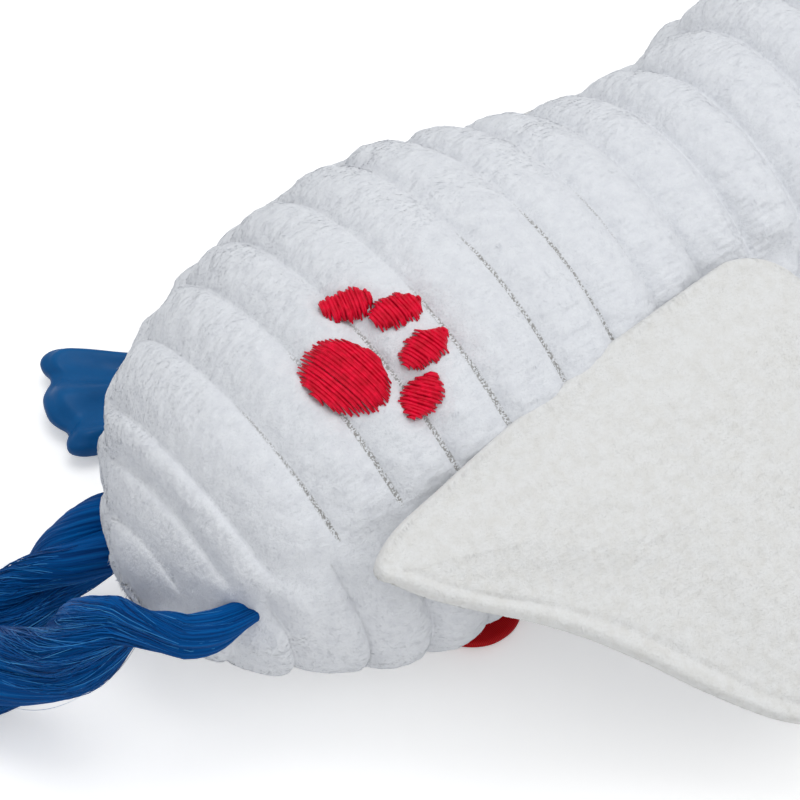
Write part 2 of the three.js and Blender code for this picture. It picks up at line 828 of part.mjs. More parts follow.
function footPlate() {
  const half = foot_width / 2;
  const place = ([ahead, across], side) => [ahead * foot_length, side * across * half];
  const outline = new THREE.Shape();
  outline.moveTo(...place(web_start_share, -1));
  for (const [bend, end] of web_shares) {
    outline.quadraticCurveTo(...place(bend, -1), ...place(end, -1));
  }
  for (let n = web_shares.length - 1; n >= 0; n -= 1) {
    const end = n > 0 ? web_shares[n - 1][1] : web_start_share;
    outline.quadraticCurveTo(...place(web_shares[n][0], 1), ...place(end, 1));
  }
  outline.closePath();
  const geometry = new THREE.ExtrudeGeometry(outline, {
    depth: foot_thickness - 2 * foot_bevel,
    bevelEnabled: true,
    bevelThickness: foot_bevel,
    bevelSize: foot_bevel,
    bevelOffset: -foot_bevel,
    bevelSegments: 1,
    curveSegments: 4,
  });
  geometry.translate(0, 0, foot_bevel);
  return toSolid(geometry);
}

function foot() {
  const ridgeLength = foot_length * toe_ridge_share;
  const collarEnd = new THREE.Vector3(-foot_collar_length / 2, 0, collar_radius);
  const collarStart = new THREE.Vector3(foot_collar_length / 2, 0, collar_radius);
  const boreEnd = new THREE.Vector3(foot_collar_length / 2 - foot_collar_wall, 0, collar_radius);
  const boreStart = collarEnd.clone();
  boreStart.x -= foot_collar_wall;
  return unite([
    footPlate(),
    toeRidge(-toe_spread, ridgeLength),
    toeRidge(0, ridgeLength),
    toeRidge(toe_spread, ridgeLength),
    rod(collarEnd, collarStart, collar_radius, round_sides),
  ]).subtract(rod(boreStart, boreEnd, collar_bore, round_sides)).subtract(floor_slab);
}

function addLeg(word, side) {
  const route = legRopePoints(side);
  const end = route.at(-1);
  const line = new THREE.CatmullRomCurve3(route);
  const shown = new Stretch(line, 0, line.getLength() - foot_collar_wall - clearance);
  addPiece(`leg_${word}_rope`, tubeGeometry(shown, rope_diameter, leg_rope_step, rope_sides), blue_rope);
  const mesh = addPiece(`foot_${word}`, foot(), blue_rubber);
  const heading = (side > 0 ? Math.PI : 0) - THREE.MathUtils.degToRad(foot_yaw);
  const ahead = new THREE.Vector3(Math.cos(heading), Math.sin(heading), 0);
  mesh.position.set(end.x, end.y, 0).addScaledVector(ahead, -foot_collar_length / 2);
  mesh.rotation.z = heading;
}
addLeg('left', 1);
addLeg('right', -1);

// Label: a folded satin tape sewn under the belly
const label_station = 68;
const label_root = 18.5;
const label_lift = 0.4;

function labelTape() {
  const turn = label_fold / 2;
  const straight = label_length - turn;
  const profile = new THREE.Shape();
  profile.moveTo(0, 0);
  profile.lineTo(straight, 0);
  profile.absarc(straight, turn, turn, -Math.PI / 2, Math.PI / 2, false);
  profile.lineTo(0, label_fold);
  profile.lineTo(0, label_fold - label_tape);
  profile.lineTo(straight, label_fold - label_tape);
  profile.absarc(straight, turn, turn - label_tape, Math.PI / 2, -Math.PI / 2, true);
  profile.lineTo(0, label_tape);
  profile.closePath();
  const settings = { depth: label_width, bevelEnabled: false, curveSegments: 6 };
  const geometry = new THREE.ExtrudeGeometry(profile, settings);
  geometry.rotateX(Math.PI / 2);
  geometry.rotateZ(-Math.PI / 2);
  return geometry;
}
const label = addPiece('label_loop', labelTape(), red_satin);
label.position.set(torsoAt(label_station).centre.x + label_width / 2, -label_root, label_lift);

// Embroidery: a raised paw print on the right of the back
const paw_station = 51;
const paw_side = 15;
const paw_toe_shares = [[0.5, -0.72], [0.95, -0.27], [0.95, 0.27], [0.5, 0.72]];

function padPrism(x, y, width, length) {
  const geometry = new THREE.CylinderGeometry(1, 1, 2 * cut_overrun, round_sides);
  geometry.rotateX(Math.PI / 2);
  geometry.scale(length / 2, width / 2, 1);
  geometry.translate(x, y, body_half_height + cut_overrun);
  return toSolid(geometry);
}

function addPawPrint() {
  const centre = torsoAt(paw_station).centre;
  const reach = paw_pad_length + toe_pad_length / 2;
  const top = ribbedForm(0, body_end, 0, clearance + stitch_height);
  const under = ribbedForm(0, body_end, 0, clearance);
  const pad = padPrism(centre.x - paw_pad_length / 3, -paw_side, paw_pad_width, paw_pad_length);
  addPiece('embroidered_paw_pad', pad.intersect(top).subtract(under), red_thread);
  paw_toe_shares.forEach(([ahead, across], n) => {
    const toeSide = -paw_side + paw_pad_width * across;
    const toe = padPrism(centre.x + reach * ahead, toeSide, toe_pad_width, toe_pad_length);
    addPiece(`embroidered_paw_toe_${n + 1}`, toe.intersect(top).subtract(under), red_thread);
  });
}
addPawPrint();

// The origin lies on the floor under the middle of the toy, its free rope left out.
part.updateMatrixWorld(true);
const extent = new THREE.Box3();
part.traverse((piece) => {
  if (piece.isMesh && piece.name !== 'tail_rope_loop') {
    extent.expandByObject(piece, true);
  }
});
part.position.x = -(extent.min.x + extent.max.x) / 2;
part.position.y = -(extent.min.y + extent.max.y) / 2;

const toy = new THREE.Group();
toy.add(part);

export default toy;
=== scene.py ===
"""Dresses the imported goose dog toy: ribbed plush skins with their pile, padded wings, laid rope,
moulded rubber feet and beak, stitching, a label, a pale floor and soft studio light.

Places are written in millimetres from the tail tip's floor point: X ahead, Y to the goose's
left, Z up. place() turns them into the frame's metres."""

import math

import bpy
import numpy as np
from mathutils import Matrix, Vector


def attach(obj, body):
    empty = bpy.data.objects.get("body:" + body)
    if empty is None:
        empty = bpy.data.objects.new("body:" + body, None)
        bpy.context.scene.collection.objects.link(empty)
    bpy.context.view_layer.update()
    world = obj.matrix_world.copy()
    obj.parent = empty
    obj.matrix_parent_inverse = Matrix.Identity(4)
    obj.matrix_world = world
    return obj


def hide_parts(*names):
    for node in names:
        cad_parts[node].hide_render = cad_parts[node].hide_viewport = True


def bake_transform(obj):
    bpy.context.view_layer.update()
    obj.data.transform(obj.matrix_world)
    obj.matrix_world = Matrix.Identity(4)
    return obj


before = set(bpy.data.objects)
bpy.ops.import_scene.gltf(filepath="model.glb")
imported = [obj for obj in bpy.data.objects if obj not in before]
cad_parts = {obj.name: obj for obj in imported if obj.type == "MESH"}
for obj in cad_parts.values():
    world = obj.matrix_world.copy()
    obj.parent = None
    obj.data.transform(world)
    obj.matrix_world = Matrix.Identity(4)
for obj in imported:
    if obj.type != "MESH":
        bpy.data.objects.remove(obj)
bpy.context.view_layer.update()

MM = 0.001
TAIL = (-191.4475, 3.7717)  # where the tail tip lies in the frame, in millimetres


def place(points):
    """Millimetres from the tail tip to metres in the frame."""
    out = np.array(points, float)
    out[..., :2] += TAIL
    return out * MM


def unit(vectors):
    vectors = np.asarray(vectors, float)
    length = np.linalg.norm(vectors, axis=-1, keepdims=True)
    return vectors / np.maximum(length, 1e-9)


def smooth(x, low, high):
    """0 at low and 1 at high, eased between them."""
    t = np.clip((np.asarray(x, float) - low) / (high - low), 0, 1)
    return t * t * (3 - 2 * t)


def band(x, rise, fall):
    """1 between two eased edges, and 0 outside them."""
    return smooth(x, *rise) * (1 - smooth(x, *fall))


def bell(x, middle, width):
    return np.exp(-(((x - middle) / width) ** 2))


# Camera, at the photograph's view

AZIMUTH = math.radians(-36.546)
ELEVATION = math.radians(47.981)
ROLL = math.radians(-0.927)
EYE = (-197.6, -352.8, 532.5)
SENSOR = 36.0
LENS = 152.69


def make_camera():
    right = np.array([math.cos(AZIMUTH), math.sin(AZIMUTH), 0])
    ahead = np.array([
        -math.sin(AZIMUTH) * math.cos(ELEVATION),
        math.cos(AZIMUTH) * math.cos(ELEVATION),
        -math.sin(ELEVATION),
    ])
    up = np.cross(right, ahead)
    across = right * math.cos(ROLL) + up * math.sin(ROLL)
    rise = -right * math.sin(ROLL) + up * math.cos(ROLL)
    turn = Matrix([[across[i], rise[i], -ahead[i]] for i in range(3)]).to_4x4()
    data = bpy.data.cameras.new("camera")
    data.lens = LENS
    data.sensor_width = SENSOR
    data.clip_start = 0.05
    data.clip_end = 30
    camera = bpy.data.objects.new("camera", data)
    camera.matrix_world = Matrix.Translation(Vector(place(EYE))) @ turn
    bpy.context.scene.collection.objects.link(camera)
    bpy.context.scene.camera = camera


make_camera()


# Meshes

def link(name, mesh, material, rounded=True):
    piece = bpy.data.objects.new(name, mesh)
    bpy.context.scene.collection.objects.link(piece)
    mesh.materials.append(material)
    if rounded:
        mesh.polygons.foreach_set("use_smooth", np.ones(len(mesh.polygons), bool))
    mesh.update()
    return piece


def mesh_piece(name, points, faces, material):
    """A piece from points in millimetres and faces of any size."""
    mesh = bpy.data.meshes.new(name)
    mesh.from_pydata(place(points).tolist(), [], [list(map(int, face)) for face in faces])
    return link(name, mesh, material)


def triangle_piece(name, points, triangles, material, normals):
    """A piece of many triangles, with a shading normal for each corner."""
    mesh = bpy.data.meshes.new(name)
    mesh.vertices.add(len(points))
    mesh.vertices.foreach_set("co", place(points).astype(np.float32).ravel())
    mesh.loops.add(triangles.size)
    mesh.loops.foreach_set("vertex_index", triangles.astype(np.int32).ravel())
    mesh.polygons.add(len(triangles))
    mesh.polygons.foreach_set("loop_start", np.arange(0, triangles.size, 3, dtype=np.int32))
    mesh.update(calc_edges=True)
    piece = link(name, mesh, material)
    mesh.normals_split_custom_set(normals.tolist())
    return piece


def grid_faces(rows, columns, start=0, closed=False, flip=False):
    """Quads between rows of points, each row columns long."""
    row = np.arange(rows - 1)[:, None] * columns
    reach = columns if closed else columns - 1
    here = np.arange(reach)[None, :]
    there = (here + 1) % columns
    faces = np.stack([row + here, row + there, row + columns + there, row + columns + here], -1)
    faces = faces.reshape(-1, 4) + start
    return faces[:, ::-1] if flip else faces


def tube_faces(rows, columns, start=0):
    """Quads round a tube of rows, and a face over each of its ends."""
    faces = grid_faces(rows, columns, start, closed=True).tolist()
    ring = range(start, start + columns)
    last = (rows - 1) * columns
    return faces + [list(ring)[::-1], [last + n for n in ring]]


def set_values(piece, name, values):
    """A number for each vertex, which the materials read by name."""
    layer = piece.data.attributes.new(name, "FLOAT", "POINT")
    layer.data.foreach_set("value", np.asarray(values, np.float32).ravel())


def set_vectors(piece, name, values):
    layer = piece.data.attributes.new(name, "FLOAT_VECTOR", "POINT")
    layer.data.foreach_set("vector", np.asarray(values, np.float32).ravel())


def ripples(points, scale, seed, count=9):
    """Smooth noise of about -1 to 1, from waves that run in many directions."""
    draw = np.random.default_rng(seed)
    total = np.zeros(np.shape(points)[:-1])
    for _ in range(count):
        wave = unit(draw.normal(size=3)) * draw.uniform(0.6, 1.7) / scale
        total += np.sin(points @ wave + draw.uniform(0, 2 * math.pi))
    return total / math.sqrt(count / 2) / 1.6


def stand_in(piece, body, *nodes):
    """Sets a piece on its body, in the place of the solids that it shows."""
    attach(piece, body)
    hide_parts(*nodes)


# Materials

def linear(red, green, blue):
    """A colour given as 0 to 255 in sRGB, as the shaders take it."""
    out = []
    for value in (red, green, blue):
        c = value / 255
        out.append(c / 12.92 if c <= 0.04045 else ((c + 0.055) / 1.055) ** 2.4)
    return (*out, 1.0)


def put(tree, socket, value):
    """Wires an output to a socket, or sets the socket's plain value."""
    if isinstance(value, bpy.types.NodeSocket):
        tree.links.new(value, socket)
    else:
        socket.default_value = value


def add_node(tree, kind, values=None, **settings):
    made = tree.nodes.new(kind)
    for key, value in settings.items():
        setattr(made, key, value)
    for key, value in (values or {}).items():
        put(tree, made.inputs[key], value)
    return made


class Shader:
    """A material with a Principled node, and short ways to add nodes to it."""

    def __init__(self, name, **sockets):
        self.material = bpy.data.materials.new(name)
        self.material.use_nodes = True
        self.tree = self.material.node_tree
        self.main = self.tree.nodes["Principled BSDF"]
        for key, value in sockets.items():
            self.main.inputs[key.replace("_", " ")].default_value = value

    def node(self, kind, values=None, **settings):
        return add_node(self.tree, kind, values, **settings)

    def wire(self, output, name):
        self.tree.links.new(output, self.main.inputs[name])

    def where(self):
        return self.node("ShaderNodeTexCoord").outputs["Object"]

    def attribute(self, name, output="Fac"):
        return self.node("ShaderNodeAttribute", attribute_name=name).outputs[output]

    def noise(self, scale, detail=3, place=None, roughness=0.55):
        values = {"Vector": place or self.where(), "Scale": scale, "Detail": detail}
        values["Roughness"] = roughness
        return self.node("ShaderNodeTexNoise", values).outputs["Fac"]

    def ramp(self, value, *stops):
        made = self.node("ShaderNodeValToRGB", {"Fac": value})
        marks = made.color_ramp.elements
        while len(marks) < len(stops):
            marks.new(0.5)
        for mark, (position, colour) in zip(marks, stops):
            mark.position = position
            mark.color = colour
        return made.outputs["Color"]

    def mix(self, amount, first, second):
        values = {0: amount, 6: first, 7: second}
        return self.node("ShaderNodeMix", values, data_type="RGBA").outputs[2]

    def half(self, value):
        return self.node("ShaderNodeMath", {0: value, 1: 0.5}, operation="MULTIPLY").outputs[0]

    def scaled(self, vector, scale):
        values = {0: vector, 1: scale}
        return self.node("ShaderNodeVectorMath", values, operation="MULTIPLY").outputs[0]

    def bump(self, height, strength, distance):
        values = {"Height": height, "Strength": strength, "Distance": distance}
        made = self.node("ShaderNodeBump", values)
        self.wire(made.outputs["Normal"], "Normal")


def grey(value):
    return (value, value, value, 1.0)


WHITE = linear(229, 231, 235)
# The deeper tone gives the plush its random clumps, and in the pile it is also the painted shade at
# the tufts' roots.
WHITE_DEEP = linear(221, 223, 228)
KNIT = linear(158, 157, 155)
CREAM = linear(229, 229, 228)
# The deeper cream gives the wings' random clumps, and in their pile it is also the painted shade at
# the tufts' roots.
CREAM_DEEP = linear(223, 222, 219)
# How fine the plush's shades and grain are, in waves to the metre.
CLUMPS = 420
KNIT_DOTS = 2600
BRUSHED = (1100, 2100, 1700)


def cloth(name, sheen, spread):
    values = {"Roughness": 1.0, "Specular_IOR_Level": 0.1}
    return Shader(name, Sheen_Weight=sheen, Sheen_Roughness=spread, **values)


def plush(name, light, deep, backing):
    """The cloth under the pile: pale, with the knit showing as dots along the stitched lines."""
    made = cloth(name, 0.15, 0.6)
    clumps = made.ramp(made.noise(CLUMPS, 4), (0.3, deep), (0.6, light))
    dots = made.ramp(made.noise(KNIT_DOTS, 1), (0.44, backing), (0.58, light))
    line = made.ramp(made.attribute("knit"), (0.2, grey(0)), (0.5, grey(1)))
    made.wire(made.mix(line, clumps, dots), "Base Color")
    brushed = made.noise(1.0, 5, made.scaled(made.where(), BRUSHED), 0.65)
    made.bump(brushed, 0.55, 0.0007)
    return made.material


def pile_material(name, light, deep):
    """The tufts, with painted shade that darkens them towards their roots."""
    made = cloth(name, 0.1, 0.5)
    tone = made.ramp(made.noise(CLUMPS, 3), (0.28, deep), (0.6, light))
    root = made.attribute("root")
    # Painted shade: the tone is mixed towards the deeper one by the root share, most at each tuft's
    # base.
    made.wire(made.mix(root, tone, deep), "Base Color")
    return made.material


white_cloth = plush("white_plush_cloth", WHITE, WHITE_DEEP, KNIT)
white_pile = pile_material("white_plush_pile", WHITE, WHITE_DEEP)
cream_cloth = plush("cream_plush_cloth", CREAM, CREAM_DEEP, CREAM_DEEP)
cream_pile = pile_material("cream_plush_pile", CREAM, CREAM_DEEP)

ROPE_BLUES = (linear(0, 34, 84), linear(0, 74, 142), linear(2, 118, 198))
ROPE_SHADES = (linear(0, 38, 90), linear(0, 92, 166))
# The pale blue of the painted highlights along the strands.
ROPE_PAINTED_HIGHLIGHT = linear(96, 158, 208)
FIBRE_BLUES = (linear(0, 46, 104), linear(0, 90, 164), linear(76, 160, 220))
# How fine the rope's streaks are along a strand and across it, in waves to the metre.
FINE_STRANDS = (45, 1500, 1500)
BROAD_STRANDS = (22, 260, 260)
GLINTS = (34, 1100, 1100)
LOOSE_STRANDS = (30, 140, 140)


def rope_material():
    """Glossy filament in darker and lighter strands, streaked with pale glints that are painted
    highlights in the base colour.
    """
    made = Shader("blue_rope_fibre", Roughness=0.5, Specular_IOR_Level=0.05)
    run = made.attribute("strand", "Vector")
    fine = made.noise(1.0, 4, made.scaled(run, FINE_STRANDS))
    broad = made.noise(1.0, 2, made.scaled(run, BROAD_STRANDS))
    colour = made.ramp(fine, *zip((0.3, 0.5, 0.72), ROPE_BLUES))
    shade = made.ramp(broad, *zip((0.32, 0.68), ROPE_SHADES))
    # Painted highlights: sparse pale streaks that mix the base colour halfway to the pale blue.
    glints = made.noise(1.0, 3, made.scaled(run, GLINTS), 0.7)
    streaks = made.ramp(glints, (0.68, grey(0)), (0.82, grey(1)))
    base = made.mix(0.5, colour, shade)
    made.wire(made.mix(made.half(streaks), base, ROPE_PAINTED_HIGHLIGHT), "Base Color")
    made.wire(made.ramp(fine, (0.3, grey(0.6)), (0.75, grey(0.36))), "Roughness")
    made.bump(fine, 0.8, 0.0005)
    return made.material


def fibre_material():
    """The rope's bundles of loose filament."""
    made = Shader("blue_rope_loose_fibre", Roughness=0.36, Specular_IOR_Level=0.12)
    run = made.attribute("strand", "Vector")
    tone = made.noise(1.0, 2, made.scaled(run, LOOSE_STRANDS))
    made.wire(made.ramp(tone, *zip((0.35, 0.55, 0.75), FIBRE_BLUES)), "Base Color")
    return made.material


def toned(name, tone, colours, bump, **sockets):
    """A material in two tones of one noise, with the bumps of another."""
    made = Shader(name, **sockets)
    made.wire(made.ramp(made.noise(*tone), *colours), "Base Color")
    made.bump(made.noise(*bump[:2]), *bump[2:])
    return made


def rubber_material():
    colours = ((0.3, linear(0, 70, 124)), (0.7, linear(4, 90, 150)))
    bump = (1300, 3, 0.12, 0.0003)
    made = toned("blue_rubber", (55, 3), colours, bump, Roughness=0.42, Specular_IOR_Level=0.16)
    made.wire(made.ramp(made.noise(420, 4), (0.3, grey(0.34)), (0.7, grey(0.5))), "Roughness")
    return made.material


def thread_material(name, dark, light):
    bump = (2600, 2, 0.3, 0.0002)
    values = {"Roughness": 0.45, "Specular_IOR_Level": 0.2}
    return toned(name, (700, 3), ((0.3, dark), (0.7, light)), bump, **values).material


def satin_material():
    made = Shader("red_satin", Roughness=0.4, Specular_IOR_Level=0.2)
    values = {"Vector": made.where(), "Scale": 900.0, "Distortion": 0.6}
    weave = made.node("ShaderNodeTexWave", values).outputs["Fac"]
    made.wire(made.ramp(weave, (0.2, linear(158, 0, 6)), (0.8, linear(214, 4, 16))), "Base Color")
    made.bump(weave, 0.25, 0.0002)
    return made.material


def vinyl_material():
    colours = ((0.3, linear(188, 196, 203)), (0.65, linear(206, 212, 217)))
    return toned("squeaker_vinyl", (90, 4), colours, (180, 4, 0.4, 0.001), Roughness=0.3).material


rope_fibre = rope_material()
loose_fibre = fibre_material()
rubber = rubber_material()
crimson = thread_material("crimson_thread", linear(196, 0, 34), linear(240, 6, 58))
black = thread_material("black_thread", linear(9, 10, 13), linear(38, 40, 46))
satin = satin_material()
vinyl = vinyl_material()


# Torso: the same middle line and fullness as the solids have

BODY_LENGTH = 200.0
HALF_WIDTH = 47.0
HALF_HEIGHT = 43.7
SETTLE = 0.8
NECK_START = 212.0
TORSO = np.array([
    (0, 0.76, 0.005), (0.006, 0.765, 0.19), (0.0275, 0.78, 0.4), (0.07, 0.81, 0.63),
    (0.145, 0.89, 0.855), (0.245, 0.965, 0.985), (0.37, 1.045, 1), (0.495, 1.075, 0.905),
    (0.62, 1.09, 0.78), (0.745, 1.08, 0.785), (0.87, 1.01, 0.87), (1, 0.93, 0.942),
    (1.12, 1.03, 0.87), (1.22, 1.32, 0.7), (1.3, 1.74, 0.54), (1.365, 2.2, 0.47),
    (1.43, 2.66, 0.46), (1.5, 3.1, 0.45),
])


def lengths_along(points):
    """How far each point lies along the line through them."""
    steps = np.linalg.norm(np.diff(points, axis=0), axis=1)
    return np.concatenate([[0], np.cumsum(steps)])


def at_marks(want, marks, values):
    """Each column of values, read at the wanted marks."""
    return np.stack([np.interp(want, marks, values[:, i]) for i in range(values.shape[1])], -1)


def through(points, t, closed=False):
    """Places at t, from 0 to 1, on a centripetal Catmull-Rom curve through the points."""
    points = np.asarray(points, float)
    count = len(points)
    if closed:
        padded = np.vstack([points[-1:], points, points[:2]])
        spans = count
    else:
        padded = np.vstack([2 * points[0] - points[1], points, 2 * points[-1] - points[-2]])
        spans = count - 1
    reach = np.clip(np.asarray(t, float), 0, 1) * spans
    span = np.minimum(reach.astype(int), spans - 1)
    w = (reach - span)[:, None]
    x0, x1, x2, x3 = (padded[span + i] for i in range(4))
    steps = (x1 - x0, x2 - x1, x3 - x2)
    d0, d1, d2 = (np.sqrt(np.linalg.norm(step, axis=1))[:, None] for step in steps)
    d0 = np.where(d0 < 1e-4, d1, d0)
    d2 = np.where(d2 < 1e-4, d1, d2)
    t1 = ((x1 - x0) / d0 - (x2 - x0) / (d0 + d1) + (x2 - x1) / d1) * d1
    t2 = ((x2 - x1) / d1 - (x3 - x1) / (d1 + d2) + (x3 - x2) / d2) * d1
    c2 = -3 * x1 + 3 * x2 - 2 * t1 - t2
    c3 = 2 * x1 - 2 * x2 + t1 + t2
    return x1 + t1 * w + c2 * w**2 + c3 * w**3


TORSO_T = np.linspace(0, 1, 1201)
TORSO_X = TORSO[:, 0] * BODY_LENGTH
TORSO_Z = TORSO[:, 1] * HALF_HEIGHT - SETTLE
FLAT = np.zeros(len(TORSO))
TORSO_LINE = through(np.stack([TORSO_X, FLAT, TORSO_Z], 1), TORSO_T)
TORSO_FULL = through(np.stack([TORSO[:, 0], FLAT, TORSO[:, 2]], 1), TORSO_T)[:, 2]
TORSO_MARKS = lengths_along(TORSO_LINE)
TORSO_END = TORSO_MARKS[-1]
TORSO_AHEAD = unit(np.gradient(TORSO_LINE, axis=0))


def torso(distance):
    """Centre, direction ahead, direction up and fullness at distances along the torso."""
    centre = at_marks(distance, TORSO_MARKS, TORSO_LINE)
    ahead = unit(at_marks(distance, TORSO_MARKS, TORSO_AHEAD))
    up = np.stack([-ahead[..., 2], np.zeros_like(ahead[..., 0]), ahead[..., 0]], -1)
    full = np.interp(distance, TORSO_MARKS, TORSO_FULL)
    return centre, ahead, up, full


RIB_DEPTH = 3.0
RIB_DEPTH_AHEAD = 0.9  # how much deeper they are over the shoulders
BACK_SHALLOWER = 0.3  # the share that they lose along the back
SEAM_DEPTH_SHARE = 0.5  # how far the side seam draws the ribs in, of their depth
TAIL_VALLEYS = [0.0, 5.5, 11.8]
FIRST_VALLEY = 19.7
RIB_PITCH = 11.65
RIB_GROWTH = 0.0056
VALLEYS = TAIL_VALLEYS + [FIRST_VALLEY + RIB_PITCH * k * (1 + RIB_GROWTH * k) for k in range(26)]
VALLEY_WIDTH = 1.1
BELLY_LAG = 3.0  # how far the belly's ribs lie behind the back's
BODY_SPLIT = VALLEYS[17]
SEAM_RISE = 0.56
SEAM_DROP = 70.0


def rib_place(distance, lag):
    """How far across its rib a place lies, from 0 to 1, and how far from the valley."""
    marks = np.array(VALLEYS) - lag
    marks[0] = 0
    k = np.clip(np.searchsorted(marks, distance, side="right") - 1, 0, len(marks) - 2)
    u = (distance - marks[k]) / (marks[k + 1] - marks[k])
    near = np.minimum(distance - marks[k], marks[k + 1] - distance)
    return u, near


def rib_profile(u, sharp):
    """A rib's height from 0 to 1 across it, with its valleys soft at 0 and sharp at 1."""
    return (1 - np.abs(2 * u - 1) ** (2.1 + 0.2 * sharp)) ** (0.95 - 0.33 * sharp)


def seam_angle(distance):
    eased = smooth(distance, NECK_START - SEAM_DROP / 2, NECK_START + SEAM_DROP / 2)
    return np.arccos(SEAM_RISE * (1 - eased))


HOLE = np.array([10.2, -27.3, 44.2])
HOLE_INWARD = unit([0.55, 0.73, -0.41])

FAR_REAR_FULLER = 2.3  # how far the plush stands out from the plain form here
SHOULDER_FULLER = 1.4
FAR_SHOULDER_FULLER = 1.8
FAR_WAIST_LESS = 0.4
LOW_RIGHT_LESS = 2.4
HOLE_DIP = 2.2
HOLE_LIP = 1.5
FLOOR_FLAT = 0.15


def rib_relief(distance, angle, lag, girth):
    """How far the ribs and the side seam draw the plush in, with the distance from the
    nearest valley and how near the seam is."""
    across, near = rib_place(distance, lag)
    sharp = np.maximum(smooth(np.abs(angle), 0.2, 1.1), smooth(distance, 120, 165))
    height = rib_profile(across, sharp)
    on_back = np.exp(-(((angle - 0.15) / 0.75) ** 4)) * (1 - smooth(distance, 95, 135))
    depth = RIB_DEPTH * (1 - BACK_SHALLOWER * on_back)
    depth = depth + RIB_DEPTH_AHEAD * smooth(distance, 105, 155)
    turned = np.abs((angle + math.pi) % (2 * math.pi) - math.pi)
    off_seam = np.abs(turned - seam_angle(distance)) * girth / 2
    by_seam = bell(off_seam, 0, 3.6)
    relief = -depth * ((1 - height) * (1 - by_seam) + SEAM_DEPTH_SHARE * by_seam)
    return relief, near, bell(off_seam, 0, 2.2)


def uneven_filling(distance, angle):
    """Where the filling lies thicker or thinner than in the plain form."""
    turned_left = (-angle) % (2 * math.pi)
    far_rear = band(distance, (2, 22), (78, 112)) * band(turned_left, (0.1, 0.8), (1.45, 2.0))
    far_side = band(turned_left, (0.05, 0.6), (1.9, 2.4))
    shoulder = band(distance, (149, 161), (230, 260))
    waist = band(distance, (112, 126), (141, 150))
    low_right = bell(angle, 1.95, 0.5) * band(distance, (50, 64), (92, 108))
    lift = FAR_REAR_FULLER * far_rear - FAR_WAIST_LESS * far_side * waist
    lift = lift + (SHOULDER_FULLER + FAR_SHOULDER_FULLER * far_side) * shoulder
    return lift - LOW_RIGHT_LESS * low_right


def torso_skin(distance, angle, lag):
    """Points of the plush at distances along the torso and angles from the top towards the
    right, with how near each is to a valley and to the side seam."""
    centre, _, up, full = torso(distance)
    side = np.array([0.0, -1.0, 0.0])
    wide, tall = full * HALF_WIDTH, full * HALF_HEIGHT
    rise, out = np.cos(angle), np.sin(angle)
    outward = up * (rise / np.maximum(tall, 0.1))[..., None]
    outward = unit(outward + side * (out / np.maximum(wide, 0.1))[..., None])
    point = centre + up * (rise * tall)[..., None] + side * (out * wide)[..., None]
    relief, near, at_seam = rib_relief(distance, angle, lag, wide + tall)
    lift = relief + 0.55 * ripples(point, 11, 3) + 0.9 * ripples(point * [1, 0.4, 0.4], 24, 5)
    lift = lift + uneven_filling(distance, angle)
    lift = np.where(full < 0.35, lift * full / 0.35, lift)
    from_hole = np.linalg.norm(point - HOLE, axis=-1)
    lift = lift - HOLE_DIP * bell(from_hole, 0, 5) + HOLE_LIP * bell(from_hole, 8, 3)
    point = point + outward * lift[..., None]
    point[..., 2] = np.maximum(point[..., 2], FLOOR_FLAT)
    return point, bell(near, 0, VALLEY_WIDTH), at_seam, near


ROW_STEP = 0.5
TAIL_ROWS = [0.05, 0.25, 0.55]
BACK_COLUMNS = 250
BELLY_COLUMNS = 330
KNIT_WIDTH = 0.4


def tousled(points, seed, grain):
    """The pile's small clumps, in millimetres of height, longer along the toy than across."""
    brushed = points * grain
    fine = ripples(brushed, 0.33, seed, 14)
    broad = ripples(brushed, 0.9, seed + 1, 12)
    return 0.12 * fine + 0.17 * broad


def torso_rows(start, end):
    count = int(round((end - start) / ROW_STEP)) + 1
    rows = np.linspace(start, end, count)
    if start == 0:
        rows = np.concatenate([TAIL_ROWS, rows[1:]])
    return rows


def torso_panel(name, start, end, lag, upper):
    """A panel of the torso between two distances: over the side seams, or under them."""
    rows = torso_rows(start, end)
    columns = BACK_COLUMNS if upper else BELLY_COLUMNS
    seam = seam_angle(rows)
    share = np.linspace(0, 1, columns)[None, :]
    if upper:
        angle = -seam[:, None] + 2 * seam[:, None] * share
    else:
        angle = seam[:, None] + (2 * math.pi - 2 * seam[:, None]) * share
    distance = np.broadcast_to(rows[:, None], angle.shape)
    points, valley, at_seam, near = torso_skin(distance, angle, lag)
    centre = torso(distance)[0]
    clumps = tousled(points, 61, [0.55, 1, 0.8]) * (1 - 0.7 * np.maximum(valley, at_seam))
    clumps = clumps * smooth(distance, 0, 6) * (points[..., 2] > 0.2)
    points = points + unit(points - centre) * clumps[..., None]
    faces = grid_faces(len(rows), columns, flip=True)
    piece = mesh_piece(name, points.reshape(-1, 3), faces, white_cloth)
    bare = band(angle, (-0.1, 0.3), (0.95, 1.15)) * band(distance, (17, 24), (92, 118))
    knit = bell(near, 0, KNIT_WIDTH) * bare * (0.8 + 0.35 * ripples(points, 6, 67))
    set_values(piece, "knit", knit * (1 - at_seam))
    from_hole = np.linalg.norm(points - HOLE, axis=-1)
    shaggy = 1.1 * bell(from_hole, 6.5, 2.8)
    set_values(piece, "length", 1 - 0.5 * valley - 0.3 * at_seam - 0.6 * knit + shaggy)
    return piece


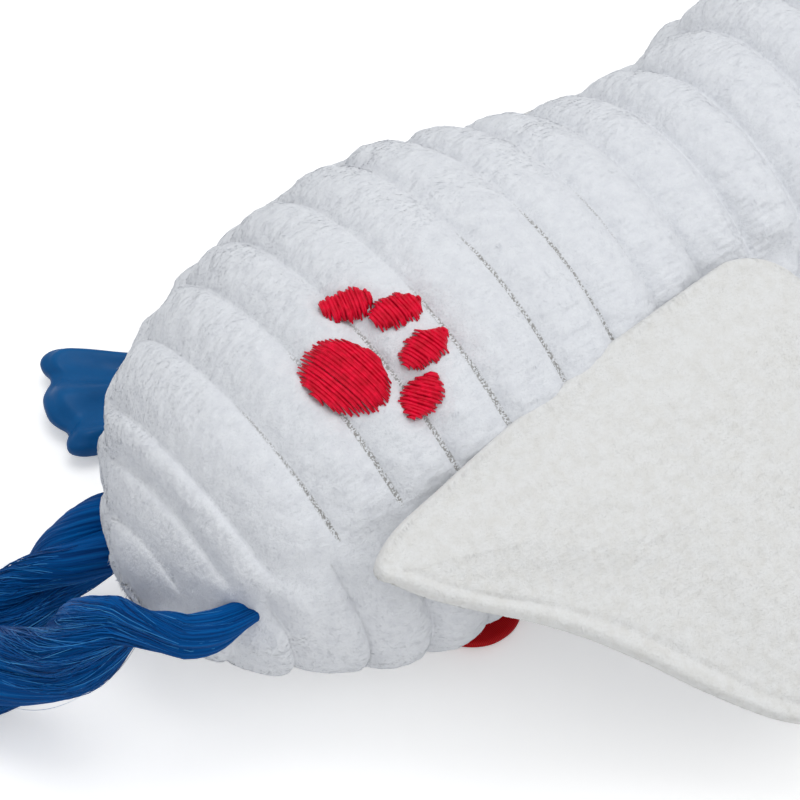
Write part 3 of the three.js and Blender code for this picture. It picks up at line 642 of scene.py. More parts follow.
BELLY_SPLIT = BODY_SPLIT - BELLY_LAG
NECK_TOP = TORSO_END - 2
body_back = torso_panel("body_back_plush", 0, BODY_SPLIT, 0, True)
body_belly = torso_panel("body_belly_plush", 0, BELLY_SPLIT, BELLY_LAG, False)
neck_back = torso_panel("neck_back_plush", BODY_SPLIT, NECK_TOP, 0, True)
neck_front = torso_panel("neck_front_plush", BELLY_SPLIT, NECK_TOP, BELLY_LAG, False)
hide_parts("body_back_panel", "body_stuffing")
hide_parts("body_belly_panel")
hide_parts("neck_back_panel", "neck_stuffing")
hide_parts("neck_front_panel")


# Head

HEAD_LENGTH = 68.0
HEAD_HEIGHT = 56.0
HEAD_CENTRE = TORSO_LINE[-1] + np.array([HEAD_LENGTH * 0.22, 0, HEAD_HEIGHT * 0.2])
HEAD_HALF = np.array([HEAD_LENGTH / 2, 27.0, HEAD_HEIGHT / 2])


def head_half(name, side):
    """Half of the head, from the seam over its middle, as angles round X and along it."""
    rows, columns = 70, 60
    along = np.linspace(0.01, math.pi - 0.01, rows)[:, None]
    turn = np.linspace(0, math.pi, columns)[None, :]
    ahead = -np.cos(along) * np.ones_like(turn)
    out = np.sin(along) * np.sin(turn)
    rise = np.sin(along) * np.cos(turn)
    shape = np.stack([ahead, side * out, rise], -1)
    cheek = np.exp(-(((ahead - 0.25) / 0.4) ** 2 + ((rise + 0.25) / 0.35) ** 2)) * out
    seam = bell(out * HEAD_HALF[1], 0, 1.6)
    points = HEAD_CENTRE + shape * HEAD_HALF
    lift = 1.2 * cheek - 0.8 * seam + 0.5 * ripples(points, 12, 11)
    points = points + unit(shape / HEAD_HALF) * lift[..., None]
    faces = grid_faces(rows, columns, flip=side > 0)
    piece = mesh_piece(name, points.reshape(-1, 3), faces, white_cloth)
    set_values(piece, "knit", np.zeros_like(seam))
    set_values(piece, "length", 1 - 0.5 * seam)
    return piece


head_left = head_half("head_left_plush", 1)
head_right = head_half("head_right_plush", -1)
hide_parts("head_left_panel", "head_stuffing")
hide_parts("head_right_panel")


# Where the legs lie

ROPE_DIAMETER = 12.0
LEG_STATION = 101.0
LEG_HEIGHT = -0.7
LEG_STAND_OFF = 2.0
LEG_ROUTE = [
    [-5, 9, -6], [-12, 15, -8.7], [-19.5, 19.2, -8.7], [-26.1, 22.7, 0], [-31.7, 24.7, 0],
    [-42.9, 28.8, 0],
]
COLLAR_RADIUS = 8.55
COLLAR_LENGTH = 12.0


def leg_pivot(side):
    """Where a leg's rope leaves the belly and swings."""
    centre, _, up, full = torso(np.array([LEG_STATION]))
    wide, tall = full[0] * HALF_WIDTH, full[0] * HALF_HEIGHT
    reach = math.sqrt(1 - LEG_HEIGHT**2)
    surface = centre[0] + up[0] * tall * LEG_HEIGHT + np.array([0, side * wide * reach, 0])
    outward = unit(np.array([0, side * reach / wide, LEG_HEIGHT / tall]))
    return surface + outward * LEG_STAND_OFF


def leg_line(side):
    """The leg rope's middle line, and the foot's end of it."""
    pivot = leg_pivot(side)
    points = pivot + np.array(LEG_ROUTE) * [side, side, 1]
    boss = pivot + unit(points[0] - pivot) * (ROPE_DIAMETER / 2 + 0.35)
    points[-3:, 2] = COLLAR_RADIUS
    curve = through(np.vstack([boss, points]), np.linspace(0, 1, 1200))
    return curve, points[-1]


# Wings

WING_EDGE = 3.0
WING_CROWN = 6.0
WING_SPAN = 70.0
# From the rear corner round the trailing edge, the tip, the leading edge and back along the
# root: ahead along the hinge and out from it.
WING_OUTLINE = [
    (-9, -4), (-7.5, -2), (-3, 3.5), (4, 9.5), (12.5, 17), (20, 25.5), (27, 36), (34, 48.5),
    (43, 61.5), (51, 67.5), (60, 69.5), (69, 68), (78, 61.5), (86, 51.5), (92, 38.5), (95.5, 24),
    (96, 11), (94, -1), (91, -8), (84, -12.5), (64, -13.5), (41, -11.5), (28, -11), (10, -9),
    (-4, -7),
]


WING_STEP = 0.25
FLOOR_GAP = 0.4
DRAPE_GAP = 7.9  # from the leg rope's middle to the wing that lies over it
COLLAR_EXTRA = 2.4
SWINGS = (0.0, -3.5, -7.0)  # the left leg's angles under the wing, in degrees


def leg_sweep():
    """The left leg's middle line at rest and swung to its limit, with the gap it needs."""
    curve, end = leg_line(1)
    beyond = end + unit(end - curve[-20]) * np.linspace(0.5, 5, 4)[:, None]
    line = np.vstack([curve[::25], beyond])
    to_end = np.linalg.norm(line - end, axis=1)
    gap = DRAPE_GAP + COLLAR_EXTRA * smooth(to_end, COLLAR_LENGTH + 3, COLLAR_LENGTH - 2)
    pivot = leg_pivot(1)
    swept = []
    for swing in np.radians(SWINGS):
        arm = line - pivot
        x = arm[:, 0] * math.cos(swing) - arm[:, 1] * math.sin(swing)
        y = arm[:, 0] * math.sin(swing) + arm[:, 1] * math.cos(swing)
        swept.append(pivot + np.column_stack([x, y, arm[:, 2]]))
    return np.vstack(swept), np.tile(gap, len(SWINGS))


def draped(spot, height):
    """The left wing's cloth, pushed off the leg rope that it lies over."""
    line, gap = leg_sweep()
    flat = spot.reshape(-1, 3)
    height = np.broadcast_to(height, spot.shape[:-1]).reshape(-1, 1)
    clear = gap[None, :] + (height + WING_CROWN) * 0.25
    for _ in range(3):
        arm = flat[:, None] - line[None]
        short = clear - np.linalg.norm(arm, axis=2)
        worst = np.argmax(short, axis=1)
        here = np.arange(len(flat))
        push = np.maximum(short[here, worst], 0)
        flat = flat + unit(arm[here, worst]) * push[:, None]
    return flat.reshape(spot.shape)


class Wing:
    """Where a wing lies: its hinge's two ends, its droop in degrees at the marks out from the
    hinge, the share of its root that is left outside the seam, and its outline."""

    def __init__(self, word, side, ends, marks, droops, root_share, outline):
        self.word, self.side = word, side
        self.back = np.array(ends[0], float)
        self.forward = unit(np.array(ends[1], float) - self.back)
        level = np.array([0.0, side, 0.0])
        self.level = unit(level - self.forward * (level @ self.forward))
        self.rise = unit(np.cross(self.level, self.forward) * -side)
        self.marks = np.arange(marks[0], WING_SPAN + 20, WING_STEP)
        self.angle = np.interp(self.marks, marks, np.radians(droops))
        between = (self.angle[1:] + self.angle[:-1]) / 2
        reach = np.concatenate([[0], np.cumsum(np.cos(between))]) * WING_STEP
        drop = np.concatenate([[0], np.cumsum(np.sin(between))]) * WING_STEP
        self.reach = reach - np.interp(0, self.marks, reach)
        self.drop = drop - np.interp(0, self.marks, drop)
        self.root_share = root_share
        self.outline = outline

    def at(self, ahead, out, height):
        """A place at this far ahead and out, and this high over the wing's middle layer. What
        would sink into the floor is pressed flat on it."""
        out = np.where(out < 0, out * self.root_share, out)
        angle = np.interp(out, self.marks, self.angle)[..., None]
        reach = np.interp(out, self.marks, self.reach)[..., None]
        drop = np.interp(out, self.marks, self.drop)[..., None]
        ahead, height = np.asarray(ahead)[..., None], np.asarray(height)[..., None]
        flat = self.back + self.forward * ahead + self.level * reach - self.rise * drop
        spot = flat + (self.level * np.sin(angle) + self.rise * np.cos(angle)) * height
        spot[..., 2] = np.maximum(spot[..., 2], FLOOR_GAP)
        return draped(spot, height[..., 0]) if self.side > 0 else spot


def pulled_in(ahead):
    """A place along the left wing, whose root is shorter at both ends."""
    if ahead > 6:
        return min(ahead, 88 + (ahead - 88) * 0.5)
    return 6 - (6 - ahead) * 0.45


BULGE = [0, 0, 0.2, 0.7, 1, 1, 0.8, 0.4]  # of the right wing's rear edge, from its corner on
right_outline = np.array(WING_OUTLINE)
right_outline[: len(BULGE)] += np.outer(BULGE, (-1.6, 1.2))
WING_LEFT = Wing(
    "left", 1, ((49.9, 54.0, 33.6), (132.0, 41.7, 47.9)), (-7, 0, WING_SPAN), (20, 82, 6), 0.4,
    [(pulled_in(ahead), out) for ahead, out in WING_OUTLINE],
)
WING_RIGHT = Wing(
    "right", -1, ((36, -46.5, 61.2), (124, -41, 65.2)), (-14, 0, WING_SPAN), (38, 38, 38), 1.0,
    right_outline,
)
HEM = 2.4  # from a wing's edge in to the seam that runs round it
WING_ROWS = 96
WING_GRAIN = 0.65  # millimetres between the points along the outline
WING_ROUNDING = 1.3


def thin_at_root(out):
    return 1 - 0.45 * smooth(out, 2, -10)


def fanned(outline, middle, reach):
    """Places ahead and out from a middle to the outline, and how far the outline is."""
    arm = outline[None] - middle
    flat = middle + arm * reach[:, None, None]
    return flat[..., 0], flat[..., 1], (1 - reach[:, None]) * np.linalg.norm(arm, axis=2)


def wing_points(wing, outline, upper):
    """Points over the wing's top or underside, from its middle out to the rim."""
    ahead, out, gap = fanned(outline, outline.mean(0), np.linspace(0.02, 1, WING_ROWS))
    height = WING_EDGE + (WING_CROWN - WING_EDGE) * smooth(gap, 0, 30)
    layer = np.stack([ahead, out, np.full_like(ahead, 40.0 if upper else 0.0)], -1)
    seam = bell(gap, HEM, 1.1) * smooth(out, -7, 2)
    height = height - (0.5 + 0.3 * ripples(layer, 6, 27)) * seam
    height = height + 0.35 * ripples(layer, 5, 21) * bell(gap, 0, 7)
    height = height + 0.5 * ripples(layer, 17, 23)
    height = height + 0.7 * tousled(layer, 71, [0.8, 0.8, 1]) * smooth(gap, 0, 2)
    height = height * thin_at_root(out)
    return wing.at(ahead, out, height if upper else -height), gap


def wing_rim(wing, outline, levels):
    """The narrow wall round the wing, which bulges between its two rims."""
    middle = outline.mean(0)
    outward = unit(np.roll(outline, -1, 0) - np.roll(outline, 1, 0))[:, ::-1] * [1, -1]
    inward = ((outline - middle) * outward).sum(1, keepdims=True) < 0
    outward = np.where(inward, -outward, outward)
    rows = []
    for level in levels:
        flat = outline + outward * WING_ROUNDING * math.sqrt(max(0.0, 1 - level**2))
        height = level * WING_EDGE * thin_at_root(outline[:, 1])
        rows.append(wing.at(flat[:, 0], flat[:, 1], height))
    return np.array(rows)


def resampled(points, step):
    """Points at even steps round the closed curve through the given ones."""
    curve = through(points, np.linspace(0, 1, 1500), True)
    marks = lengths_along(curve)
    want = np.linspace(0, marks[-1], int(marks[-1] / step), endpoint=False)
    return at_marks(want, marks, curve)


def wing_skin(wing, upper):
    """The cloth over one side of a wing, out to the middle of its rim."""
    outline = resampled(wing.outline, WING_GRAIN)
    columns = len(outline)
    points, gap = wing_points(wing, outline, upper)
    levels = np.linspace(1 if upper else -1, 0, 6)[1:]
    rows = np.concatenate([points, wing_rim(wing, outline, levels)])
    flip = (wing.side > 0) == upper
    faces = grid_faces(len(rows), columns, closed=True, flip=flip).tolist()
    cap = list(range(columns))
    faces.append(cap if flip else cap[::-1])
    name = "top" if upper else "under"
    piece = mesh_piece(f"wing_{wing.word}_{name}_plush", rows.reshape(-1, 3), faces, cream_cloth)
    gap = np.concatenate([gap, np.zeros((len(levels), columns))])
    crease = bell(gap, HEM, 1.0)
    set_values(piece, "knit", np.zeros_like(crease))
    set_values(piece, "length", 1 - 0.55 * crease)
    return piece


wing_pieces = []
for wing in (WING_LEFT, WING_RIGHT):
    top_skin = wing_skin(wing, True)
    under_skin = wing_skin(wing, False)
    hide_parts(f"wing_{wing.word}_top_panel", f"wing_{wing.word}_padding")
    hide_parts(f"wing_{wing.word}_under_panel")
    wing_pieces.append((wing, top_skin, under_skin))


# Rope

ROPE_INNER = [
    [13, -25, 46.4], [23, -23, 44.5], [34, -15.5, 41], [40, -2, 37], [36, 11, 32], [25, 18.5, 27.3],
]
ROPE_LOOP = [
    [12.5, 21.8, 23.9], [5.5, 25, 20.6], [0.3, 28.3, 16.6], [-3.6, 29.8, 13], [-8, 30.2, 10],
    [-13, 31.6, 7.9], [-20, 36.2, 6.5], [-27, 44, 6.3], [-33, 55.5, 6.3], [-38.5, 67.5, 6.3],
    [-46, 78.5, 6.3], [-57, 84.5, 6.3], [-69.5, 83.5, 6.3], [-79.5, 75.5, 6.3], [-84.5, 63.5, 6.3],
    [-82.5, 51, 6.3], [-74.5, 41.5, 6.3], [-63, 36.5, 6.3], [-51, 33.3, 6.3], [-40, 28.6, 6.5],
    [-31.5, 22.8, 8.3], [-26, 17.5, 11.4], [-21.6, 11.5, 16.4], [-17, 3, 25.2], [-12.6, -4.5, 33.3],
    [-8, -11.3, 40], [-2.6, -17.8, 45], [4.5, -23.3, 47],
]
ROPE_STEP = 1.5
PLY_COUNT = 3
PLY_TURN = 95.0  # millimetres of rope in which a ply goes once round
PLY_OFFSET = 0.46  # from the rope's middle to a ply's, as a share of the rope's half width
PLY_RADIUS = 0.52
YARNS = 11
ROPE_SIDES = 110


def even_line(points):
    """The line in even steps, and how far along it each of them is."""
    marks = lengths_along(points)
    want = np.linspace(0, marks[-1], max(2, int(round(marks[-1] / ROPE_STEP)) + 1))
    return at_marks(want, marks, points), want


def carried_frame(line):
    """Directions along, up and across the line, which turn no more than the line does."""
    along = unit(np.gradient(line, axis=0))
    up = np.zeros_like(line)
    first = np.array([0.0, 0.0, 1.0])
    up[0] = unit(first - along[0] * (first @ along[0]))
    for n in range(1, len(line)):
        up[n] = unit(up[n - 1] - along[n] * (up[n - 1] @ along[n]))
    return along, up, np.cross(along, up)


class Lay:
    """A rope's middle line with the frame that its plies turn in, and how thick it is there."""

    def __init__(self, line, marks, spread, turn_start):
        self.line, self.marks, self.spread = line, marks, spread
        self.along, self.up, self.across = carried_frame(line)
        self.turn = turn_start + 2 * math.pi * marks / PLY_TURN

    def part(self, low, high):
        """The stretch between two of its points."""
        cut = Lay.__new__(Lay)
        for name, value in vars(self).items():
            setattr(cut, name, value[low:high])
        return cut

    def at(self, marks):
        """The line, its frame, its thickness and its turn at these marks."""
        parts = (self.line, self.up, self.across, self.spread[:, None], self.turn[:, None])
        line, up, across, spread, turn = (at_marks(marks, self.marks, part) for part in parts)
        return line, unit(up), unit(across), spread[..., 0], turn[..., 0]


def ply_turned(turn, marks, ply):
    """How far round the rope a ply lies."""
    return turn + 2 * math.pi * ply / PLY_COUNT + 0.3 * np.sin(marks / 19 + 2 * ply)


def spoke(up, across, angle):
    """Directions out from the rope's line."""
    return up * np.cos(angle)[..., None] + across * np.sin(angle)[..., None]


def streaks(*parts):
    """What the rope's shades run by: the places along it and round it, and the strand."""
    return np.stack(np.broadcast_arrays(*parts), -1).reshape(-1, 3) * MM


def laid_rope(name, lay, body, node):
    """Plies laid round each other, ridged by their yarns, in the place of a plain rope."""
    points, faces, strand = [], [], []
    marks = lay.marks
    angle = np.linspace(0, 2 * math.pi, ROPE_SIDES, endpoint=False)
    for ply in range(PLY_COUNT):
        turn = ply_turned(lay.turn, marks, ply)
        offset = lay.spread * (PLY_OFFSET + 0.05 * np.sin(marks / 13 + 4 * ply))
        centre = lay.line + spoke(lay.up, lay.across, turn) * offset[:, None]
        swell = lay.spread * (PLY_RADIUS + 0.035 * np.sin(marks / 9 + ply))
        drift = marks[:, None] / 23 + 3 * ply
        yarn = np.abs(np.cos(YARNS / 2 * angle[None, :] + drift)) ** 0.7
        fine = np.sin(29 * angle[None, :] - marks[:, None] / 15 + ply)
        wave = np.sin(marks[:, None] / 6 + 5 * np.sin(2 * angle[None, :] + ply))
        radius = swell[:, None] * (0.955 + 0.05 * yarn + 0.014 * fine + 0.015 * wave)
        ring = spoke(lay.up[:, None], lay.across[:, None], angle[None, :] + turn[:, None])
        rows = centre[:, None] + ring * radius[..., None]
        rows[..., 2] = np.maximum(rows[..., 2], 0.3)
        points.append(rows.reshape(-1, 3))
        faces += tube_faces(len(marks), ROPE_SIDES, ply * len(marks) * ROPE_SIDES)
        strand.append(streaks(marks[:, None], angle * 3.4 + drift * 0.6, ply * 20.0))
    piece = mesh_piece(name, np.concatenate(points), faces, rope_fibre)
    set_vectors(piece, "strand", np.concatenate(strand))
    stand_in(piece, body, node)
    return piece


FIBRE_SECTIONS = 16
FIBRE_CORNERS = 4
LAID = (0.07, (0.06, 0.14))  # how far the filaments lift off, and how thick they are
LOOSE = (0.5, (0.04, 0.07))


def rope_fibres(name, lay, body, count, seed, reach, kind):
    """Bundles of filament that lie along the plies, some lifting off them."""
    draw = np.random.default_rng(seed)
    lift, thick = kind
    points, strand, faces = [], [], []
    sections, corners = FIBRE_SECTIONS, FIBRE_CORNERS
    first, last = lay.marks[0], lay.marks[-1]
    even = np.linspace(-1, 1, sections)
    arch = np.sin(np.linspace(0, math.pi, sections))
    taper = 0.25 + 0.75 * np.sin(np.linspace(0.05, math.pi - 0.05, sections))
    for n in range(count):
        span = min(draw.uniform(*reach), 0.9 * (last - first))
        begin = draw.uniform(first, last - span)
        want = np.linspace(begin, begin + span, sections)
        line, up, across, spread, turn = lay.at(want)
        turn = ply_turned(turn, want, draw.integers(PLY_COUNT))
        centre = line + spoke(up, across, turn) * (spread * PLY_OFFSET)[:, None]
        around = turn + draw.uniform(-1.9, 1.9) + draw.normal() * 0.35 * even
        around = around + 0.12 * np.sin(want / draw.uniform(3, 8) + n)
        ring = spoke(up, across, around)
        middle = centre + ring * (spread * 0.515 + arch * draw.gamma(1.1, lift))[:, None]
        middle[:, 2] = np.maximum(middle[:, 2], 0.4)
        size = draw.uniform(*thick) * taper
        side = unit(np.cross(ring, unit(np.gradient(middle, axis=0))))
        rows = [
            middle + (ring * math.sin(bearing) * 0.6 + side * math.cos(bearing)) * size[:, None]
            for bearing in np.linspace(0, 2 * math.pi, corners, endpoint=False)
        ]
        points.append(np.stack(rows, 1).reshape(-1, 3))
        strand.append(streaks(want[:, None], np.arange(corners) * 0.2 + 3.1 * n, 7.7 * n))
        start = n * sections * corners
        faces += grid_faces(sections, corners, start, closed=True, flip=True).tolist()
    piece = mesh_piece(name, np.concatenate(points), faces, loose_fibre)
    set_vectors(piece, "strand", np.concatenate(strand))
    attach(piece, body)
    return piece


SAG_WAY = unit([0.44, 0.6, 0.67])
SAG = ((0, 6, 12, 20, 26, 34), (3.2, 2.6, 0.3, -2.4, -1.6, 0))  # by the distance from the hole
SPREAD = 8.8  # the free rope's half width, where nothing squeezes it
SQUEEZED_BY_HOLE = 4.5
SQUEEZED_INSIDE = 1.6
SQUEEZED_AT_START = 0.7
SQUEEZED_IN_LOOP = 0.8
SQUEEZED_AT_END = 3.0
OVERLAP = 3  # steps by which the free rope and the hidden run share the line


def tail_lay():
    """The tail rope's lay outside the rump and inside it, its free line and that one's length."""
    whole = through(ROPE_LOOP + ROPE_INNER, np.linspace(0, 1, 4001), True)
    exit_at = np.argmin(np.linalg.norm(whole - np.array(ROPE_LOOP[-1]), axis=1))
    before, free = even_line(whole[: exit_at + 1])
    inside, beyond = even_line(whole[exit_at:])
    length, full = free[-1], free[-1] + beyond[-1]
    line = np.concatenate([before, inside[1:]])
    marks = np.concatenate([free, length + beyond[1:]])
    near = marks - length
    by_hole = np.minimum(-near, 99) * (near < 45) + 99 * (near >= 45)
    spread = SPREAD - SQUEEZED_BY_HOLE * smooth(by_hole, 35, 13)
    spread = spread - SQUEEZED_INSIDE * smooth(near, -4, 8) * (near < 45)
    spread = spread - SQUEEZED_AT_START * (1 - smooth(marks, 60, 90))
    spread = spread - SQUEEZED_IN_LOOP * band(marks, (95, 130), (180, 215))
    spread = spread - SQUEEZED_AT_END * smooth(full - marks, 16, 2)
    sag = np.interp(by_hole, *SAG) * (1 - smooth(near, 15, 40))
    sag = sag + 0.7 * band(marks, (1, 12), (42, 62))
    dive = 6.5 * band(near, (-6, 9), (50, 75))
    lay = Lay(line + HOLE_INWARD * dive[:, None] - SAG_WAY * sag[:, None], marks, spread, 0.6)
    split = len(free)
    outer, inner = lay.part(0, split + OVERLAP), lay.part(split - OVERLAP, len(marks))
    outer.spread = outer.spread * (1 - 0.07 * smooth(outer.marks - length, -1.5, 4.5))
    inner.spread = inner.spread * (0.93 + 0.07 * smooth(inner.marks - length, -4.5, 1.5))
    return outer, inner, before, length


def tail_rope():
    outer, inner, free_line, length = tail_lay()
    loop = laid_rope("tail_rope", outer, "goose", "tail_rope_loop")
    laid = rope_fibres("tail_rope_filaments", outer, "goose", 2600, 31, (14, 50), LAID)
    loose = rope_fibres("tail_rope_loose_filaments", outer, "goose", 150, 33, (8, 32), LOOSE)
    place(free_line[-1]).tolist()
    place(free_line[::-1]).tolist()
    laid_rope("tail_rope_inner", inner, "goose", "tail_rope_inner_run")


tail_rope()


# Feet

FOOT_YAW = math.radians(20)
TOE_BEARINGS = (-21.0, 0.0, 19.0)
FOOT_ROUNDING = 0.9
FOOT_HALF = [
    (0, 5.5), (5, 6.6), (10, 8.8), (15, 11.4), (20, 13.4), (26, 15.0), (32, 16.0), (36.4, 16.0),
    (38.9, 14.2), (38.9, 11.8), (38.0, 9.6), (38.2, 7.4), (39.6, 5.2), (40.8, 2.8), (41.1, 0),
]
HEEL = [(-1.2, -2.8), (-1.6, 0), (-1.2, 2.8)]
FOOT_MIDDLE = np.array([21.0, 0.0])
FOOT_SOLE = 0.35
HALF_COLLAR = COLLAR_LENGTH / 2
COLLAR_SIDES = 48
COLLAR_PROFILE = [
    (-HALF_COLLAR, 6.3), (-HALF_COLLAR - 0.5, 7.2), (-HALF_COLLAR - 0.2, 8.3),
    (-HALF_COLLAR + 1.2, 8.75), (-2, 8.5), (2, 8.4), (4.5, 8.3), (6.4, 7.4), (7.6, 5.6), (8.2, 3.0),
    (8.3, 0.2),
]
LEG_SPREAD = 6.0


def foot_web():
    """Rows of points over the toes and webs, round their rim and back under them."""
    half = np.array(FOOT_HALF)
    outline = resampled(np.vstack([half, (half * [1, -1])[-2::-1], HEEL]), 0.8)
    narrow = 0.12 * smooth(outline[:, 1], 0, 10)
    outline[:, 1] *= 1 - narrow - 0.05 * smooth(-outline[:, 1], 0, 10)
    outline = outline - unit(outline - FOOT_MIDDLE) * FOOT_ROUNDING
    x, y, gap = fanned(outline, FOOT_MIDDLE, np.linspace(0.02, 1, 30))
    bearing = np.degrees(np.arctan2(y, np.maximum(x + 5, 1)))
    ridge = sum(bell(bearing, toe, 5.6) for toe in TOE_BEARINGS)
    tip = smooth(x, 3, 14) * (1 - 0.25 * smooth(x, 33, 41))
    height = 3.6 + 2.2 * ridge * tip + 0.5 * smooth(x, 26, 38)
    height = height * (1 - 0.4 * bell(gap, 0, 1.8))
    curl = 3.2 * smooth(x, 16, 41)
    upper = np.stack([x, y, height + curl], -1)
    lower = np.stack([x, y, FOOT_SOLE + curl * 0.9], -1)
    outward = unit(outline - FOOT_MIDDLE) * FOOT_ROUNDING
    rim = []
    for level in np.linspace(1, 0, 8)[1:-1]:
        edge = outline + outward * math.sqrt(max(0, 1 - (2 * level - 1) ** 2))
        z = lower[-1, :, 2] + (upper[-1, :, 2] - lower[-1, :, 2]) * level
        rim.append(np.column_stack([edge, z]))
    return np.concatenate([upper, np.array(rim), lower[::-1]])


def foot_collar():
    """Rings of points over the collar, from the rope's side to the toes'."""
    turn = np.linspace(0, 2 * math.pi, COLLAR_SIDES, endpoint=False)
    rings = []
    for x, r, _ in through([(x, r, 0) for x, r in COLLAR_PROFILE], np.linspace(0, 1, 44)):
        z = np.maximum(COLLAR_RADIUS + r * np.sin(turn), FOOT_SOLE)
        rings.append(np.stack([np.full(COLLAR_SIDES, x), r * np.cos(turn), z], -1))
    return np.array(rings)


def foot_mesh(name, end, heading):
    """A webbed foot: three ridged toes with soft webs, and a collar that holds the rope."""
    web, collar = foot_web(), foot_collar()
    rows, columns = web.shape[:2]
    start = rows * columns
    faces = tube_faces(rows, columns)
    faces += grid_faces(len(collar), COLLAR_SIDES, start, closed=True, flip=True).tolist()
    start += (len(collar) - 1) * COLLAR_SIDES
    faces.append([start + n for n in range(COLLAR_SIDES)][::-1])
    points = np.concatenate([web.reshape(-1, 3), collar.reshape(-1, 3)])
    ahead = np.array([math.cos(heading), math.sin(heading), 0])
    left = np.array([-ahead[1], ahead[0], 0])
    origin = np.array([end[0], end[1], 0]) - ahead * HALF_COLLAR
    points = origin + points[:, :1] * ahead + points[:, 1:2] * left + points[:, 2:] * [0, 0, 1]
    return mesh_piece(name, points, faces, rubber)


for word, side in (("left", 1), ("right", -1)):
    curve, end = leg_line(side)
    line, marks = even_line(curve)
    body = f"leg_{word}"
    lay = Lay(line, marks, np.full(len(marks), LEG_SPREAD), 1.1)
    laid_rope(f"leg_{word}_rope_laid", lay, body, f"leg_{word}_rope")
    rope_fibres(f"leg_{word}_rope_filaments", lay, body, 260, 40 + side, (12, 36), LAID)
    foot = foot_mesh(f"foot_{word}_webbed", end, (math.pi if side > 0 else 0) - FOOT_YAW)
    stand_in(foot, body, f"foot_{word}")


# Pile

PILE_LENGTH = 1.9
PILE_WIDTH = 0.26
WING_PILE_LENGTH = 1.4
WING_PILE_WIDTH = 0.22
STANDING = 0.12  # the share of the tufts that stand up
TUFT_FACES = [(2, 0, 3), (1, 2, 3), (0, 1, 3)]
TUFT_BEND = [1.6, 1.6, 0.0]  # how far each face is shaded as the skin under it is


def read_skin(skin):
    """A skin's points, its normals and pile length there, and its triangles' corners."""
    mesh = skin.data
    mesh.calc_loop_triangles()

    def read(items, name, width, kind=np.float32):
        out = np.zeros(len(items) * width, kind)
        items.foreach_get(name, out)
        return out.reshape(-1, width)

    points = read(mesh.vertices, "co", 3).astype(float) / MM
    points[:, :2] -= TAIL
    normals = read(mesh.vertices, "normal", 3).astype(float)
    corners = read(mesh.loop_triangles, "vertices", 3, np.int32)
    return points, normals, read(mesh.attributes["length"].data, "value", 1)[:, 0], corners


def strewn(skin, per_mm2, draw):
    """Places strewn evenly over a skin, with its normal and the pile's length there."""
    points, normals, trim, corners = read_skin(skin)
    a, b, c = (points[corners[:, i]] for i in range(3))
    area = np.linalg.norm(np.cross(b - a, c - a), axis=1) / 2
    count = int(area.sum() * per_mm2)
    chosen = corners[draw.choice(len(area), count, p=area / area.sum())]
    r1, r2 = np.sqrt(draw.random(count)), draw.random(count)
    weight = np.stack([1 - r1, r1 * (1 - r2), r1 * r2], 1)
    spot = (points[chosen] * weight[..., None]).sum(1)
    normal = unit((normals[chosen] * weight[..., None]).sum(1))
    short = (trim[chosen] * weight).sum(1)
    keep = (spot[:, 2] > 0.6) & (short > draw.uniform(0.2, 0.6, count))
    return spot[keep], normal[keep], short[keep]


def pile(skin, per_mm2, length, width, lay, seed, material):
    """Short flat tufts over the skin, leaning along lay, some of them standing up."""
    draw = np.random.default_rng(seed)
    spot, normal, short = strewn(skin, per_mm2, draw)
    count = len(spot)
    swirl = np.stack([ripples(spot, 3, seed + 20 + i, 7) for i in range(3)], -1)
    lean = np.tile(lay, (count, 1)) * np.where(spot[:, 1:2] < 0, [1, -1, 1], [1, 1, 1])
    lean = lean + 0.6 * swirl + draw.normal(size=(count, 3)) * 0.25
    lean = unit(lean - normal * (lean * normal).sum(1, keepdims=True))
    standing = draw.random(count) < STANDING
    rise = np.where(standing, draw.uniform(0.5, 0.9, count), draw.uniform(0.1, 0.4, count))
    direction = normal * np.sin(rise)[:, None] + lean * np.cos(rise)[:, None]
    reach = length * short * draw.uniform(0.6, 1.2, count)
    side = unit(np.cross(direction, normal))
    ridge = np.cross(side, direction)
    half = width * draw.uniform(0.7, 1.3, count)[:, None] / 2
    root = spot - normal * 0.06
    tip = root + direction * reach[:, None]
    tip[:, 2] = np.maximum(tip[:, 2], 0.1)
    tufts = np.stack([root + side * half, root - side * half, root + ridge * half * 0.7, tip], 1)
    base = np.arange(0, count * 4, 4)[:, None, None]
    triangles = (base + np.array(TUFT_FACES)[None]).reshape(-1, 3)
    points = tufts.reshape(-1, 3)
    a, b, c = (points[triangles[:, i]] for i in range(3))
    facing = unit(np.cross(b - a, c - a)).reshape(count, len(TUFT_FACES), 3)
    bent = unit(facing + normal[:, None] * np.array(TUFT_BEND)[None, :, None])
    shading = np.repeat(bent.reshape(-1, 3), 3, axis=0)
    name = skin.name.replace("plush", "pile")
    piece = triangle_piece(name, points, triangles, material, shading)
    # Painted shade at the roots: a share of 0.35 at each tuft's three base corners and none at its
    # tip.
    set_values(piece, "root", np.tile([0.35, 0.35, 0.35, 0.0], count))
    return piece


# Which way the tufts lean on the left of the toy: ahead, out from its middle and up.
TORSO_LAY = (-0.75, 0.35, -0.25)
WING_LAY = (-0.35, 0.8, -0.3)
HEAD_LAY = (-1.0, 0.0, -0.1)
